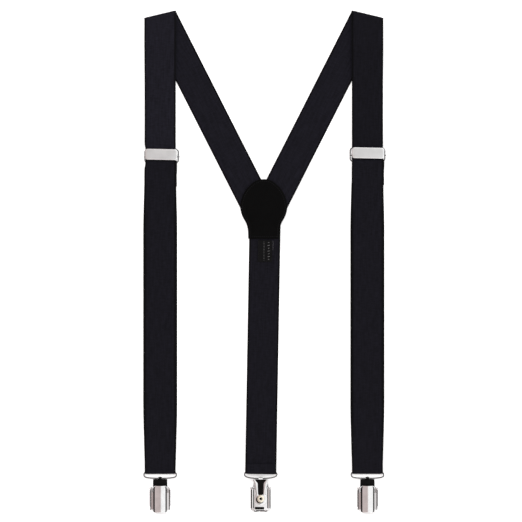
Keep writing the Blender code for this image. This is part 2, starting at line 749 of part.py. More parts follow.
def lean_matrix():
    """The back strap's small lean to one side, about its top."""
    top = Matrix.Translation((BACK_TOP_X * MM, BACK_TOP_Y * MM, 0))
    drop = Matrix.Translation((0, -BACK_TOP_Y * MM, 0))
    return top @ Matrix.Rotation(math.radians(-BACK_LEAN), 4, "Z") @ drop


def yoke_outline():
    """The yoke leather's bell shape, smoothed through its few points."""
    data = curve_data("yoke_guide")
    half = [YOKE_TOP, *YOKE_SIDE, YOKE_FOOT]
    mirrored = [(-x, y) for x, y in reversed(half[1:])]
    points = half + mirrored
    spline = data.splines.new("BEZIER")
    spline.bezier_points.add(len(points) - 1)
    spline.use_cyclic_u = True
    spline.resolution_u = 6
    for knot, (x, y) in zip(spline.bezier_points, points):
        knot.co = (x, y, 0.0)
        knot.handle_left_type = "AUTO"
        knot.handle_right_type = "AUTO"
        if y == YOKE_FOOT[1]:
            knot.handle_left_type = "VECTOR"
            knot.handle_right_type = "VECTOR"
    guide = bpy.data.objects.new("yoke_guide", data)
    bpy.context.scene.collection.objects.link(guide)
    depsgraph = bpy.context.evaluated_depsgraph_get()
    mesh = bpy.data.meshes.new_from_object(guide.evaluated_get(depsgraph))
    outline = [(v.co.x, v.co.y) for v in mesh.vertices]
    bpy.data.objects.remove(guide, do_unlink=True)
    bpy.data.meshes.remove(mesh)
    return outline


def make_yoke(root):
    """Two leather faces sewn together with the three straps between them."""
    outline = yoke_outline()
    outer = plan_solid("yoke_outer_leather", [outline], 0.0, LEATHER_THICK)
    place(outer, leather(), root)
    low = YOKE_LAYER + WEB_THICK / 2 + GAP
    inner = plan_solid("yoke_inner_leather", [outline], low, low + LEATHER_THICK)
    place(inner, leather(), root)


def make_label(root):
    """The small woven label sewn to the back strap just below the leather."""
    start, end = YOKE_RAMP
    steps = 6
    path = []
    for i in range(steps + 1):
        y = LABEL_TOP - LABEL_LENGTH * i / steps
        share = min(max((start - y) / (start - end), 0.0), 1.0)
        top = ease(YOKE_LAYER, FLOOR_LAYER, share) + WEB_THICK / 2
        path.append((y, top + GAP + LABEL_LIFT + LABEL_THICK / 2))
    obj = side_solid("label", ribbon(path, LABEL_THICK), LABEL_WIDTH, LABEL_X)
    obj.data.transform(lean_matrix())
    place(obj, label_cloth(), root)


def build():
    clear_scene()
    make_collections()
    root = empty("root", (0.0, 0.0, 0.0))
    make_yoke(root)
    make_back_strap(root)
    make_label(root)
    for side in ("left", "right"):
        x = side_sign(side) * STRAP_X
        make_diagonal(side, root)
        make_bend(side, root)
        make_upper_strap(side, root)
        make_lower_strap(side, root)
        make_turn(side, root)
        make_tail(side, root)
        make_tail_end(side, root)
        make_slider(side, root)
        pivot = (x + PLATE_OFFSET_X, SLIDER_Y[side] - PIVOT_BELOW_CENTRE, PIVOT_Z)
        make_cover(side, empty(side + "_cover_axis", pivot, root))
        bar = (x, STRAP_END_Y + TURN_R + WEB_THICK / 2, FLOOR_LAYER + TURN_R)
        make_clip(side, bar, False).parent = root
    bar_y = STRAP_END_Y + TURN_R + WEB_THICK / 2
    drop = BACK_TOP_Y - bar_y
    bar_x = BACK_TOP_X - math.sin(math.radians(BACK_LEAN)) * drop
    back = make_clip("back", (bar_x, bar_y, back_clip_height()), True)
    back.parent = root
    root.location = (CENTRE_SHIFT[0] * MM, CENTRE_SHIFT[1] * MM, 0.0)


build()
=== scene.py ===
"""The looks of a pair of suspenders laid flat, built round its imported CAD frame.

Lengths in this file are in millimetres until a mesh is made, which turns them into metres.
"""
import json
import math

import bmesh
import bpy
import numpy as np
from mathutils import Matrix, Vector


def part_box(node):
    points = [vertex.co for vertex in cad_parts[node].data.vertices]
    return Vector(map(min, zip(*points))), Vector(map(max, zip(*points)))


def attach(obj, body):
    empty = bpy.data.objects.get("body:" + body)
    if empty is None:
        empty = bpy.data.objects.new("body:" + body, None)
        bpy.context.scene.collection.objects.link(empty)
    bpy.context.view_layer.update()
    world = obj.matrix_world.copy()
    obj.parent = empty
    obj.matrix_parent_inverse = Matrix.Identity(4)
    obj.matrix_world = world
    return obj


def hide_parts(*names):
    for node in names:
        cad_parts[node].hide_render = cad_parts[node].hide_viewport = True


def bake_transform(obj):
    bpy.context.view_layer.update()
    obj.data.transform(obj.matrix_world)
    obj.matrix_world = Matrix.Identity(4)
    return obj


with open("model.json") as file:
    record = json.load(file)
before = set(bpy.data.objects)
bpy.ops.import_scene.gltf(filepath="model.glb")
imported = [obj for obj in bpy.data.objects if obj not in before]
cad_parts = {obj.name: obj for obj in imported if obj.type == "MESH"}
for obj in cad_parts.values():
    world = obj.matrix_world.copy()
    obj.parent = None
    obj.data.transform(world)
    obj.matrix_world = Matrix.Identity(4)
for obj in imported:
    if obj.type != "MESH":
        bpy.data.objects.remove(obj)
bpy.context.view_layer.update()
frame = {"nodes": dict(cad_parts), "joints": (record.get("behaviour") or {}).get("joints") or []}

MM = 0.001
JOINTS = {joint["name"]: joint for joint in frame["joints"]}
SIDES = ("left", "right")
CLIPS = ("left", "right", "back")

# Camera and stage.
CAMERA_HEIGHT = 3000.0
FIELD_WIDTH = 571.6
CAMERA_AIM = (-3.2, 0.2)
SENSOR = 36.0
FLOOR_HALF = 7000.0

# Webbing.
WEB_HALF = 17.3
WEB_THICK = 1.2
LAYER_GAP = 0.3
WIRE_R = 0.8
TURN_R = WIRE_R + LAYER_GAP + WEB_THICK / 2
FLOOR_LAYER = WEB_THICK / 2
SECOND_LAYER = FLOOR_LAYER + WEB_THICK + LAYER_GAP
YOKE_LAYER = 2.1
ROW_STEP = 2.4
ROW_TURN = 9.0
DIAGONAL_ANGLE = math.radians(63.1)
FOLD_TILT = (math.pi / 2 - DIAGONAL_ANGLE) / 2
FOLD_SKEW = math.tan(FOLD_TILT)
SKEW_RUN = 45.0

# Webbing weave: the pitch of its lengthways wales and crossways picks, and its colour.
WALE = 0.62
PICK = 1.15
WEB_COLOUR = (0.0040, 0.0038, 0.0060)

# Metal wear, and a painted highlight along the rims, reach this far from a rim.
RIM_WEAR_AND_HIGHLIGHT_REACH = 1.3

# Straps, measured from the fold, the slider's centre or the loop.
PIVOT_BELOW = 2.4
SPLIT_ABOVE = 5.0
FRAME_BAR = -8.7
FRAME_TOP = 6.0
TAIL_END = 26.0
OVER_WIRE = 4.0
OVER_BAR = 5.5
DIAGONAL_LENGTH = 226.0
YOKE_RISE = (170.0, 196.0)
YOKE_END_SKEW = -0.578
SEAM_INSET = 2.3
LEATHER_EDGE = 0.45
STITCH_DIP = 0.22
TAIL_SPREAD = 0.075
PUFF_LENGTH = 100.0
PUFF_HEIGHT = 2.2
PINCH = {"left": 0.95, "right": 0.985}
PINCH_SHIFT = {"left": 0.6, "right": 0.0}
EYE_SHIFT = 1.1
BACK_LEAN = math.radians(1.0)
BACK_TOP = (1.45, 55.5)

# The label: half its width, its motif columns (place, reach, count, thread size), its rise.
LABEL_HALF = 7.8
LABEL_COLUMNS = ((4.1, 2.9, 7, 0.36), (-1.0, 1.7, 13, 0.2))
LABEL_RISE = 24.0

# Slider: half sizes, shifts from the strap's middle line, and the cover's turn in degrees.
FRAME_HALF = {"left": 18.4, "right": 19.0}
FRAME_SHIFT = {"left": 1.5, "right": -0.1}
COVER_HALF = (17.3, 5.95)
COVER_RAISE = 0.15
COVER_CORNER = 2.6
COVER_TILT = -1.1
GRIP_HALF = 14
COVER_SHIFT = {"left": 1.3, "right": 0.4}

# Clip sizes, from the loop's lower bar: X across, Y towards the strap, Z to the lever's side.
LOOP_DROP = 7.0
LOOP_HALF = 18.1
LOOP_WIRE_R = 0.72
HANGER_HALF = (7.9, 5.0)
RIVET_Y = -22.0
BORE_R = 1.5
FOOT_R = 6.8
JAW_HALF = 11.3
JAW_SPAN = (-34.2, -11.2)
FLANGE_TOP = 3.9
LEVER_PIN = (-11.0, 3.1)
LEVER_HALF = 7.3
LEVER_SPAN = (-37.1, -7.9)
LEVER_CROWN = 0.75
LOOP_BOW = {"left": 0.30, "right": 0.30, "back": 0.5}
RIB_X = 9.0
# The next two place dark strips of painted shade beside the rear jaw's ribs.
JAW_SHADE_LINES = ((7.2, 8.3), (9.6, 10.7))
JAW_SHADE_Z = (-0.47, -0.2)
LEVER_MIDDLE = 4.6
LEVER_PEAK = 0.9
# The next two place the painted shade on the lever's inner face and along its rolled sides.
INNER_SHADE_X = (-3.8, 6.3)
SIDE_SHADE_X = (5.7, 6.0)

# Light: the tent's brightness from the left (0) to the right (1).
TENT = (
    (0.10, (0.12, 0.10, 0.10)),
    (0.20, (0.60, 0.52, 0.51)),
    (0.40, (0.56, 0.48, 0.47)),
    (0.480, (0.52, 0.44, 0.43)),
    (0.496, (0.95, 0.94, 0.94)),
    (0.60, (1.0, 1.0, 1.0)),
    (0.94, (1.0, 1.0, 1.0)),
    (0.97, (0.25, 0.25, 0.25)),
)
TENT_POWER = 1.12
FLOOR_GLOW = 0.3
LAMP_POWER = 36.0
LAMP_SIZE = 1.6
LAMP_PLACE = (-0.5, 0.9, 2.2)


# ---------------------------------------------------------------- places

def pivot(joint):
    """A joint's point, in millimetres."""
    return Vector(JOINTS[joint]["pos_m"]) / MM


def node_box(node):
    """A CAD node's lowest and highest corners, in millimetres."""
    low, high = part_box(node)
    return low / MM, high / MM


# ---------------------------------------------------------------- materials

class Nodes:
    """A shader node tree. A value may be a number, a colour or another node's output."""

    def __init__(self, tree):
        self.tree = tree

    def put(self, socket, value):
        if isinstance(value, bpy.types.NodeSocket):
            self.tree.links.new(value, socket)
        else:
            socket.default_value = value

    def add(self, kind, inputs=None, output=0, **settings):
        made = self.tree.nodes.new("ShaderNode" + kind)
        for key, value in settings.items():
            setattr(made, key, value)
        for key, value in (inputs or {}).items():
            self.put(made.inputs[key], value)
        return made.outputs[output]

    def calc(self, operation, *values):
        return self.add("Math", dict(enumerate(values)), operation=operation)

    def times(self, first, second):
        return self.calc("MULTIPLY", first, second)

    def plus(self, first, second):
        return self.calc("ADD", first, second)

    def scaled(self, value, scale, offset):
        return self.calc("MULTIPLY_ADD", value, scale, offset)

    def blend(self, factor, first, second):
        """From the first colour to the second as the factor goes from 0 to 1."""
        first, second = [v if isinstance(v, bpy.types.NodeSocket) else (*v, 1.0) for v in (first, second)]
        return self.add("Mix", {0: factor, 6: first, 7: second}, 2, data_type="RGBA")

    def spread(self, value, low, high):
        """A 0 to 1 value taken to the range from low to high."""
        return self.add("MapRange", {"Value": value, "To Min": low, "To Max": high})

    def step_between(self, value, low, high):
        """0 below low, 1 above high, smooth between."""
        return self.add("MapRange", {"Value": value, "From Min": low, "From Max": high},
                        interpolation_type="SMOOTHSTEP")

    def noise(self, vector, scale, detail=3.0):
        return self.add("TexNoise", {"Vector": vector, "Scale": scale, "Detail": detail})

    def streaks(self, vector, scale, detail):
        """Noise drawn out by a scale of its own along each axis."""
        return self.noise(self.add("Mapping", {"Vector": vector, "Scale": scale}), 1.0, detail)

    def split(self, vector):
        first = self.add("SeparateXYZ", {0: vector})
        return first.node.outputs


class Surface(Nodes):
    """A material under construction."""

    def __init__(self, name, specular=0.5, metallic=0.0):
        self.made = bpy.data.materials.new(name)
        self.made.use_nodes = True
        super().__init__(self.made.node_tree)
        self.inputs = self.tree.nodes["Principled BSDF"].inputs
        self.set("Specular IOR Level", specular)
        self.set("Metallic", metallic)

    def set(self, name, value):
        self.put(self.inputs[name], value)

    def place(self):
        return self.add("TexCoord", output="Object")

    def bump(self, height, distance):
        self.set("Normal", self.add("Bump", {"Height": height, "Distance": distance * MM, "Strength": 1.0}))


def shades(colour, *shares):
    """A colour made darker or lighter, no channel above 1."""
    return [[min(channel * share, 1.0) for channel in colour] for share in shares]


def webbing_material(name, painted_light_factor):
    """Ribbed elastic webbing, its whole colour scaled by a factor that paints each strap lighter or darker as
    painted light and shade. Its map runs across and along the strap in millimetres.
    """
    m = Surface(name, specular=0.10)
    weave = m.add("UVMap", uv_map="weave")
    across, along = m.split(weave)[:2]
    column = m.times(across, 1 / WALE)
    offset = m.times(m.calc("FLOOR", column), math.pi)
    wale = m.calc("ABSOLUTE", m.calc("SINE", m.times(column, math.pi)))
    pick = m.calc("SINE", m.plus(m.times(along, 2 * math.pi / PICK), offset))
    pick = m.scaled(pick, 0.5, 0.5)
    thread = m.times(wale, m.scaled(pick, 0.6, 0.4))
    edge = m.step_between(m.calc("ABSOLUTE", across), WEB_HALF - 2.4, WEB_HALF - 1.2)
    rib = m.add("Mix", {0: edge, 2: thread, 3: pick}, data_type="FLOAT")
    fuzz = m.streaks(weave, (2.2, 1.4, 1.0), 4.0)
    patch = m.streaks(weave, (0.05, 0.018, 1.0), 2.0)
    # Painted light and shade: the factor makes one strap's copy lighter and another's darker, though the webbing
    # is one colour.
    base = [channel * painted_light_factor for channel in WEB_COLOUR]
    painted_edge_shade, deep, lit, bright = shades(base, 0.15, 0.45, 1.9, 2.3)
    # Painted shade in the weave's recesses: the low parts of the threads are darker.
    colour = m.blend(m.spread(rib, 0.35, 1.0), deep, base)
    colour = m.blend(m.times(fuzz, 0.4), colour, lit)
    colour = m.blend(m.spread(patch, 0.0, 0.35), colour, deep)
    crimp = m.streaks(weave, (0.16, 0.85, 1.0), 1.0)
    stretch = m.streaks(weave, (0.7, 0.06, 1.0), 1.0)
    light = m.plus(m.step_between(crimp, 0.3, 0.7), m.step_between(stretch, 0.3, 0.7))
    colour = m.blend(m.times(light, 0.42), colour, bright)
    # Painted shade: the strap's outer edges are darkened, standing for the shadow at and under the selvedges.
    m.set("Base Color", m.blend(m.times(edge, 0.9), colour, painted_edge_shade))
    m.set("Roughness", m.spread(fuzz, 0.72, 0.95))
    m.set("Sheen Weight", 0.015)
    m.set("Sheen Roughness", 0.6)
    m.bump(m.plus(rib, m.times(fuzz, 0.35)), 0.22)
    return m.made


def leather_material():
    """Smooth black leather with a fine pebble and faint creases."""
    m = Surface("black_leather", specular=0.05)
    place = m.place()
    cells = m.add("TexVoronoi", {"Vector": place, "Scale": 1100.0, "Randomness": 0.9}, feature="F1")
    crease = m.noise(place, 160.0, 6.0)
    cloud = m.noise(place, 45.0)
    colour = m.blend(cloud, (0.0008, 0.0008, 0.0009), (0.0022, 0.0021, 0.0021))
    m.set("Base Color", m.blend(m.spread(cells, 0.0, 0.5), colour, (0.0004, 0.0004, 0.0004)))
    m.set("Roughness", m.spread(crease, 0.34, 0.62))
    m.bump(m.plus(m.times(cells, -0.6), crease), 0.09)
    return m.made


def thread_material(name, colour):
    """Twisted sewing thread."""
    m = Surface(name, specular=0.2)
    twist = m.add("TexWave", {"Vector": m.place(), "Scale": 900.0, "Distortion": 0.6},
                  wave_type="BANDS", bands_direction="DIAGONAL")
    m.set("Base Color", m.blend(twist, *shades(colour, 0.45, 1.0)))
    m.set("Roughness", 0.6)
    m.bump(twist, 0.05)
    return m.made


def label_material():
    """A damask label: fine crossways threads on a black ground."""
    m = Surface("label_cloth", specular=0.15)
    place = m.place()
    x, y = m.split(place)[:2]
    weft = m.calc("SINE", m.times(y, 2 * math.pi / (0.45 * MM)))
    warp = m.calc("SINE", m.times(x, 2 * math.pi / (0.3 * MM)))
    twill = m.scaled(m.times(weft, warp), 0.5, 0.5)
    fuzz = m.noise(place, 700.0, 4.0)
    colour = m.blend(twill, (0.0012, 0.0012, 0.0013), (0.0034, 0.0034, 0.0036))
    m.set("Base Color", m.blend(m.times(fuzz, 0.3), colour, (0.008, 0.008, 0.009)))
    m.set("Roughness", 0.8)
    m.bump(m.plus(twill, fuzz), 0.06)
    return m.made


def metal_material(name, colour, rough_low, rough_high, brushed=None, scratch=0.02):
    """Plated metal. `brushed` is the grain's scale along each axis; without it the finish is polished."""
    m = Surface(name, metallic=1.0)
    place = m.place()
    grain = m.streaks(place, brushed or (350.0, 350.0, 350.0), 4.0)
    smudge = m.noise(place, 120.0, 4.0)
    rim = m.add("Attribute", output="Fac", attribute_name="rim")
    dull, worn, bare_and_highlit = shades(colour, 0.8, 1.12, 1.3)
    shade = m.blend(smudge, dull, worn)
    if brushed:
        shade = m.blend(m.times(grain, 0.5), shade, dull)
    # Real wear and a painted highlight: the rims are painted brighter, standing for the light their rounding
    # catches.
    rim_wear_and_highlight = m.times(rim, m.spread(smudge, 0.5, 1.0))
    m.set("Base Color", m.blend(rim_wear_and_highlight, shade, bare_and_highlit))
    rough = m.spread(m.scaled(grain, 0.5, m.times(smudge, 0.5)), rough_low, rough_high)
    m.set("Roughness", m.times(rough, m.scaled(rim_wear_and_highlight, -0.6, 1.0)))
    m.bump(grain, scratch)
    return m.made


def plastic_material(name, colour):
    """Moulded grip rubber with a fine spark texture."""
    m = Surface(name, specular=0.12)
    spark = m.noise(m.place(), 1500.0, 5.0)
    m.set("Base Color", m.blend(spark, *shades(colour, 1.0, 2.2)))
    m.set("Roughness", m.spread(spark, 0.45, 0.7))
    m.bump(spark, 0.04)
    return m.made


# ---------------------------------------------------------------- mesh tools

def finish_mesh(name, verts, faces, mat, uvs=None):
    """An object from points in millimetres, with outward faces and an optional weave map."""
    mesh = bpy.data.meshes.new(name)
    mesh.from_pydata([tuple(float(c) * MM for c in v) for v in verts], [], faces)
    if uvs is not None:
        layer = mesh.uv_layers.new(name="weave")
        loops = np.zeros(len(mesh.loops), np.int32)
        mesh.loops.foreach_get("vertex_index", loops)
        layer.data.foreach_set("uv", np.asarray(uvs, np.float32)[loops].ravel())
    work = bmesh.new()
    work.from_mesh(mesh)
    bmesh.ops.recalc_face_normals(work, faces=work.faces)
    for face in work.faces:
        face.smooth = True
    work.to_mesh(mesh)
    work.free()
    obj = bpy.data.objects.new(name, mesh)
    mesh.materials.append(mat)
    bpy.context.scene.collection.objects.link(obj)
    return obj


def grid_faces(rings, count, closed_rings=False, start=0):
    """Quads between rings of `count` points, each ring closed on itself."""
    faces = []
    spans = rings if closed_rings else rings - 1
    for i in range(spans):
        a, b = start + i * count, start + ((i + 1) % rings) * count
        for j in range(count):
            k = (j + 1) % count
            faces.append((a + j, a + k, b + k, b + j))
    return faces


def joined(name, parts, mat, smooth_angle=None):
    """Several objects in one."""
    first = parts[0]
    if len(parts) > 1:
        with bpy.context.temp_override(active_object=first, object=first, selected_objects=parts,
                                       selected_editable_objects=parts):
            bpy.ops.object.join()
    first.name = name
    mesh = first.data
    mesh.name = name
    mesh.materials.clear()
    mesh.materials.append(mat)
    mesh.polygons.foreach_set("material_index", [0] * len(mesh.polygons))
    if smooth_angle is not None:
        mesh.set_sharp_from_angle(angle=math.radians(smooth_angle))
    return first


def mark_rim(obj, values):
    """How close each point is to a rim, for the metal's wear and its painted rim highlight."""
    layer = obj.data.attributes.new("rim", "FLOAT", "POINT")
    layer.data.foreach_set("value", [float(v) for v in values])
    return obj


def sharpen(obj, angle=35.0):
    obj.data.set_sharp_from_angle(angle=math.radians(angle))
    return obj


def transform(obj, matrix):
    """Move a mesh drawn in millimetres by a matrix in millimetres."""
    scale = Matrix.Scale(MM, 4)
    obj.data.transform(scale @ matrix @ scale.inverted())
    return obj


def wire(name, points, radius, mat, closed=False, sides=14, up=(0, 0, 1), taper=None):
    """Round wire along points."""
    pts = [Vector(p) for p in points]
    count = len(pts)
    verts = []
    side = None
    for i, p in enumerate(pts):
        before = pts[(i - 1) % count] if closed or i else p
        after = pts[(i + 1) % count] if closed or i < count - 1 else p
        along = (after - before).normalized()
        if side is None:
            side = along.cross(Vector(up)).normalized()
        else:
            side = (side - along * side.dot(along)).normalized()
        lift = along.cross(side)
        size = radius * (taper[i] if taper else 1.0)
        for j in range(sides):
            angle = 2 * math.pi * j / sides
            verts.append(p + side * (size * math.cos(angle)) + lift * (size * math.sin(angle)))
    faces = grid_faces(count, sides, closed)
    if not closed:
        faces += [tuple(range(sides))[::-1], tuple(range((count - 1) * sides, count * sides))]
    return finish_mesh(name, verts, faces, mat)


def bar(name, radius, start, end, mat):
    """A turned rod with rounded ends."""
    start, end = Vector(start), Vector(end)
    along = (end - start).normalized()
    edge = 0.2
    inset = [0.0, edge * 0.3, edge]
    size = [1 - edge / radius * 1.1, 1 - edge / radius * 0.35, 1.0]
    points = [start + along * depth for depth in inset] + [end - along * depth for depth in inset[::-1]]
    up = (0, 0, 1) if abs(along.z) < 0.9 else (0, 1, 0)
    return sharpen(wire(name, points, radius, mat, sides=24, up=up, taper=size + size[::-1]), 50)


def arc(centre, radius, start, end, steps):
    out = []
    for i in range(steps + 1):
        angle = math.radians(start + (end - start) * i / steps)
        out.append((centre[0] + radius * math.cos(angle), centre[1] + radius * math.sin(angle)))
    return out


def ease(low, high, share):
    share = min(max(share, 0.0), 1.0)
    return low + (high - low) * share * share * (3 - 2 * share)


def ramp(start, end, steps=8):
    (y0, z0), (y1, z1) = start, end
    return [(y0 + (y1 - y0) * i / steps, ease(z0, z1, i / steps)) for i in range(steps + 1)]


def outward(outline):
    """Unit vectors pointing out of a plan outline that runs anticlockwise."""
    pts = np.asarray(outline, float)
    along = np.roll(pts, -1, 0) - np.roll(pts, 1, 0)
    out = np.column_stack([along[:, 1], -along[:, 0]])
    return out / np.linalg.norm(out, axis=1)[:, None]


def signed_area(points):
    """The area inside a closed outline, above zero where it runs anticlockwise."""
    x, y = np.asarray(points, float).T
    return (x * np.roll(y, -1) - np.roll(x, -1) * y).sum() / 2


def anticlockwise(outline):
    pts = np.asarray(outline, float)
    return pts if signed_area(pts) > 0 else pts[::-1]


def even_outline(outline, step):
    """A closed outline with points an even distance apart, corners kept close."""
    pts = np.asarray(outline, float)
    loop = np.vstack([pts, pts[:1]])
    length = np.concatenate([[0], np.cumsum(np.linalg.norm(np.diff(loop, axis=0), axis=1))])
    count = max(int(length[-1] / step), 12)
    where = np.linspace(0, length[-1], count, endpoint=False)
    return np.column_stack([np.interp(where, length, loop[:, i]) for i in range(2)])


def plate(name, outline, bottom, top, mat, edge=0.25, lift=None, centre=None, inner=6):
    """A pressed plate with rounded rims.

    `lift(x, y)` raises it, which crowns it or follows what is under it; `inner` rings of points
    run from the rim to the middle, so that the lift shows.
    """
    pts = anticlockwise(outline)
    out = outward(pts)
    middle = np.asarray(centre if centre is not None else pts.mean(0), float)
    thick = top - bottom
    edge = min(edge, thick * 0.49)
    rings = []
    angles = (0, 30, 60, 90)

    def ring(inset, height):
        rings.append(np.column_stack([pts - out * inset, np.full(len(pts), height)]))

    def shrunk(share, height):
        flat = middle + (pts - out * edge - middle) * share
        rings.append(np.column_stack([flat, np.full(len(pts), height)]))

    for i in range(1, inner + 1):
        shrunk(i / (inner + 1), bottom)
    for angle in angles:
        a = math.radians(angle)
        ring(edge * (1 - math.sin(a)), bottom + edge * (1 - math.cos(a)))
    for angle in reversed(angles):
        a = math.radians(angle)
        ring(edge * (1 - math.sin(a)), top - edge * (1 - math.cos(a)))
    for i in range(inner, 0, -1):
        shrunk(i / (inner + 1), top)
    verts = np.vstack(rings)
    count = len(pts)
    faces = grid_faces(len(rings), count)
    low = len(verts)
    verts = np.vstack([verts, [*middle, bottom], [*middle, top]])
    last = (len(rings) - 1) * count
    for j in range(count):
        k = (j + 1) % count
        faces.append((low, k, j))
        faces.append((low + 1, last + j, last + k))
    gaps = np.sqrt(((verts[:, None, :2] - pts[None, :, :]) ** 2).sum(2)).min(1)
    if lift:
        for v in verts:
            v[2] += lift(v[0], v[1])
    obj = sharpen(finish_mesh(name, verts, faces, mat), 40)
    return mark_rim(obj, np.clip(1 - gaps / RIM_WEAR_AND_HIGHLIGHT_REACH, 0, 1))


def pressed(name, grid, thick, mat):
    """Sheet metal from rows of points in the middle of the sheet, with a rounded rim."""
    middle = np.asarray(grid, float)
    rows, cols = middle.shape[:2]
    across = np.gradient(middle, axis=1)
    along = np.gradient(middle, axis=0)
    normal = np.cross(across, along)
    normal /= np.linalg.norm(normal, axis=2)[..., None]
    border = [(0, c) for c in range(cols)] + [(r, cols - 1) for r in range(1, rows)]
    border += [(rows - 1, c) for c in range(cols - 2, -1, -1)] + [(r, 0) for r in range(rows - 2, 0, -1)]
    mid = []
    for r, c in border:
        push = np.zeros(3)
        if r in (0, rows - 1):
            push += along[r, c] / np.linalg.norm(along[r, c]) * (1 if r else -1)
        if c in (0, cols - 1):
            push += across[r, c] / np.linalg.norm(across[r, c]) * (1 if c else -1)
        mid.append(middle[r, c] + push / np.linalg.norm(push) * thick * 0.38)
    size = rows * cols
    upper = (middle + normal * thick / 2).reshape(-1, 3)
    lower = (middle - normal * thick / 2).reshape(-1, 3)
    verts = np.vstack([upper, lower, mid])
    faces = []
    for r in range(rows - 1):
        for c in range(cols - 1):
            a = r * cols + c
            faces.append((a, a + 1, a + cols + 1, a + cols))
            faces.append((size + a, size + a + cols, size + a + cols + 1, size + a + 1))
    count = len(border)
    for i, (r, c) in enumerate(border):
        k = (i + 1) % count
        r2, c2 = border[k]
        here, there = r * cols + c, r2 * cols + c2
        faces.append((here, 2 * size + i, 2 * size + k, there))
        faces.append((size + here, size + there, 2 * size + k, 2 * size + i))
    edge = np.array(mid)
    gaps = np.array([np.sqrt(((edge - v) ** 2).sum(1)).min() for v in verts])
    obj = sharpen(finish_mesh(name, verts, faces, mat), 45)
    return mark_rim(obj, np.clip(1 - gaps / RIM_WEAR_AND_HIGHLIGHT_REACH, 0, 1))


def rounded_stations(start, end, start_corner, end_corner, step=1.4):
    """Places along a pressed piece, each with how much its half width is drawn in there."""
    out = []
    turns = 6
    sign = 1.0 if end > start else -1.0
    for i in range(turns):
        angle = math.pi / 2 * i / turns
        depth, width = start_corner
        out.append((start + sign * depth * (1 - math.cos(angle)), width * (1 - math.sin(angle))))
    low, high = start + sign * start_corner[0], end - sign * end_corner[0]
    count = max(int(abs(high - low) / step), 2)
    out += [(low + (high - low) * i / count, 0.0) for i in range(count + 1)]
    for i in range(turns - 1, -1, -1):
        angle = math.pi / 2 * i / turns
        depth, width = end_corner
        out.append((end - sign * depth * (1 - math.cos(angle)), width * (1 - math.sin(angle))))
    return out


def channel(half, corner, wall, crown=0.0, peak=0.0, flat=14):
    """Points (x, z) across a pressed channel: up one wall, round a bend, over the top and down."""
    bend = [math.radians(15 * i) for i in range(7)]
    left = [(-half, -wall)] + [(-half + corner * (1 - math.cos(a)), -corner * (1 - math.sin(a))) for a in bend]
    right = [(-x, z) for x, z in left[::-1]]
    inner = half - corner
    top = []
    for i in range(1, flat):
        x = -inner + 2 * inner * i / flat
        share = abs(x - peak) / (inner + math.copysign(peak, peak - x))
        top.append((x, crown * (1 - share ** 1.6)))
    return left + top + right


def cut(obj, tool):
    """Cut a piece with a tool, for good."""
    step = obj.modifiers.new("cut", "BOOLEAN")
    step.operation = "DIFFERENCE"
    step.solver = "EXACT"
    step.object = tool
    depsgraph = bpy.context.evaluated_depsgraph_get()
    made = bpy.data.meshes.new_from_object(obj.evaluated_get(depsgraph))
    old = obj.data
    obj.modifiers.clear()
    obj.data = made
    made.name = old.name
    bpy.data.meshes.remove(old)
    bpy.data.objects.remove(tool, do_unlink=True)
    return sharpen(obj, 35)


def rounded_rectangle(half_width, low, high, corner, steps):
    x, top, bottom = half_width - corner, high - corner, low + corner
    out = []
    for centre, start in (((x, top), 0), ((-x, top), 90), ((-x, bottom), 180), ((x, bottom), 270)):
        out += arc(centre, corner, start, start + 90, steps)
    return out


def stitches(name, path, mat, pitch=2.3, length=1.7, radius=0.17, lift=None):
    """A row of sewn stitches along plan points; `lift(x, y)` is the height of the cloth."""
    pts = [Vector(p) for p in path]
    spans = [(b - a).length for a, b in zip(pts, pts[1:])]
    total = sum(spans)
    count = max(int(total / pitch), 1)
    sides = 7
    verts, faces = [], []

    def at(distance):
        left = min(max(distance, 0.0), total)
        for a, b, span in zip(pts, pts[1:], spans):
            if left <= span:
                return a.lerp(b, left / span if span else 0.0)
            left -= span
        return pts[-1]

    for i in range(count):
        middle = (i + 0.5) * total / count
        base = len(verts)
        steps = 6
        for s in range(steps + 1):
            share = s / steps
            where = middle + (share - 0.5) * length
            p = at(where)
            q = at(where + 0.05)
            along = (q - p)
            along = along.normalized() if along.length > 1e-6 else (pts[-1] - pts[0]).normalized()
            side = Vector((-along.y, along.x, 0.0)).normalized()
            arch = math.sin(math.pi * share)
            height = (lift(p.x, p.y) if lift else p.z) - STITCH_DIP + (STITCH_DIP + radius * 0.9) * arch ** 0.5
            size = radius * (0.55 + 0.45 * arch)
            for j in range(sides):
                angle = 2 * math.pi * j / sides
                verts.append((p.x + side.x * size * math.cos(angle), p.y + side.y * size * math.cos(angle),
                              height + size * math.sin(angle)))
        faces += grid_faces(steps + 1, sides, start=base)
        faces.append(tuple(range(base, base + sides))[::-1])
        faces.append(tuple(range(base + steps * sides, base + (steps + 1) * sides)))
    return finish_mesh(name, verts, faces, mat)


# ---------------------------------------------------------------- webbing

def webbing_section(half, thick):
    """The closed outline of webbing cut across: thin rounded selvedges, a groove, a flat body."""
    full = thick / 2
    rim = [(0.0, 0.0), (0.08, 0.28), (0.3, 0.43), (0.75, 0.5), (1.2, 0.47), (1.55, 0.36), (1.9, 0.48), (2.5, 0.58)]
    rim = [(e, h * full / 0.6) for e, h in rim]
    body = np.linspace(3.4, 2 * half - 3.4, 11)
    top = [(e - half, h) for e, h in rim]
    top += [(e - half, full) for e in body]
    top += [(half - e, h) for e, h in rim[::-1]]
    bottom = [(a, -h) for a, h in top[-2:0:-1]]
    return top + bottom


class Row:
    """One station of a strap: its centre, the way across, the way out of its face, and the
    distance along it. `skew` is how far along the strap the row runs for each millimetre across."""

    def __init__(self, centre, across, normal, along, distance, skew=0.0, shift=0.0, size=1.0):
        self.centre = Vector(centre)
        self.across = Vector(across)
        self.normal = Vector(normal)
        self.along = Vector(along)
        self.distance = distance
        self.skew = skew
        self.shift = shift
        self.size = size


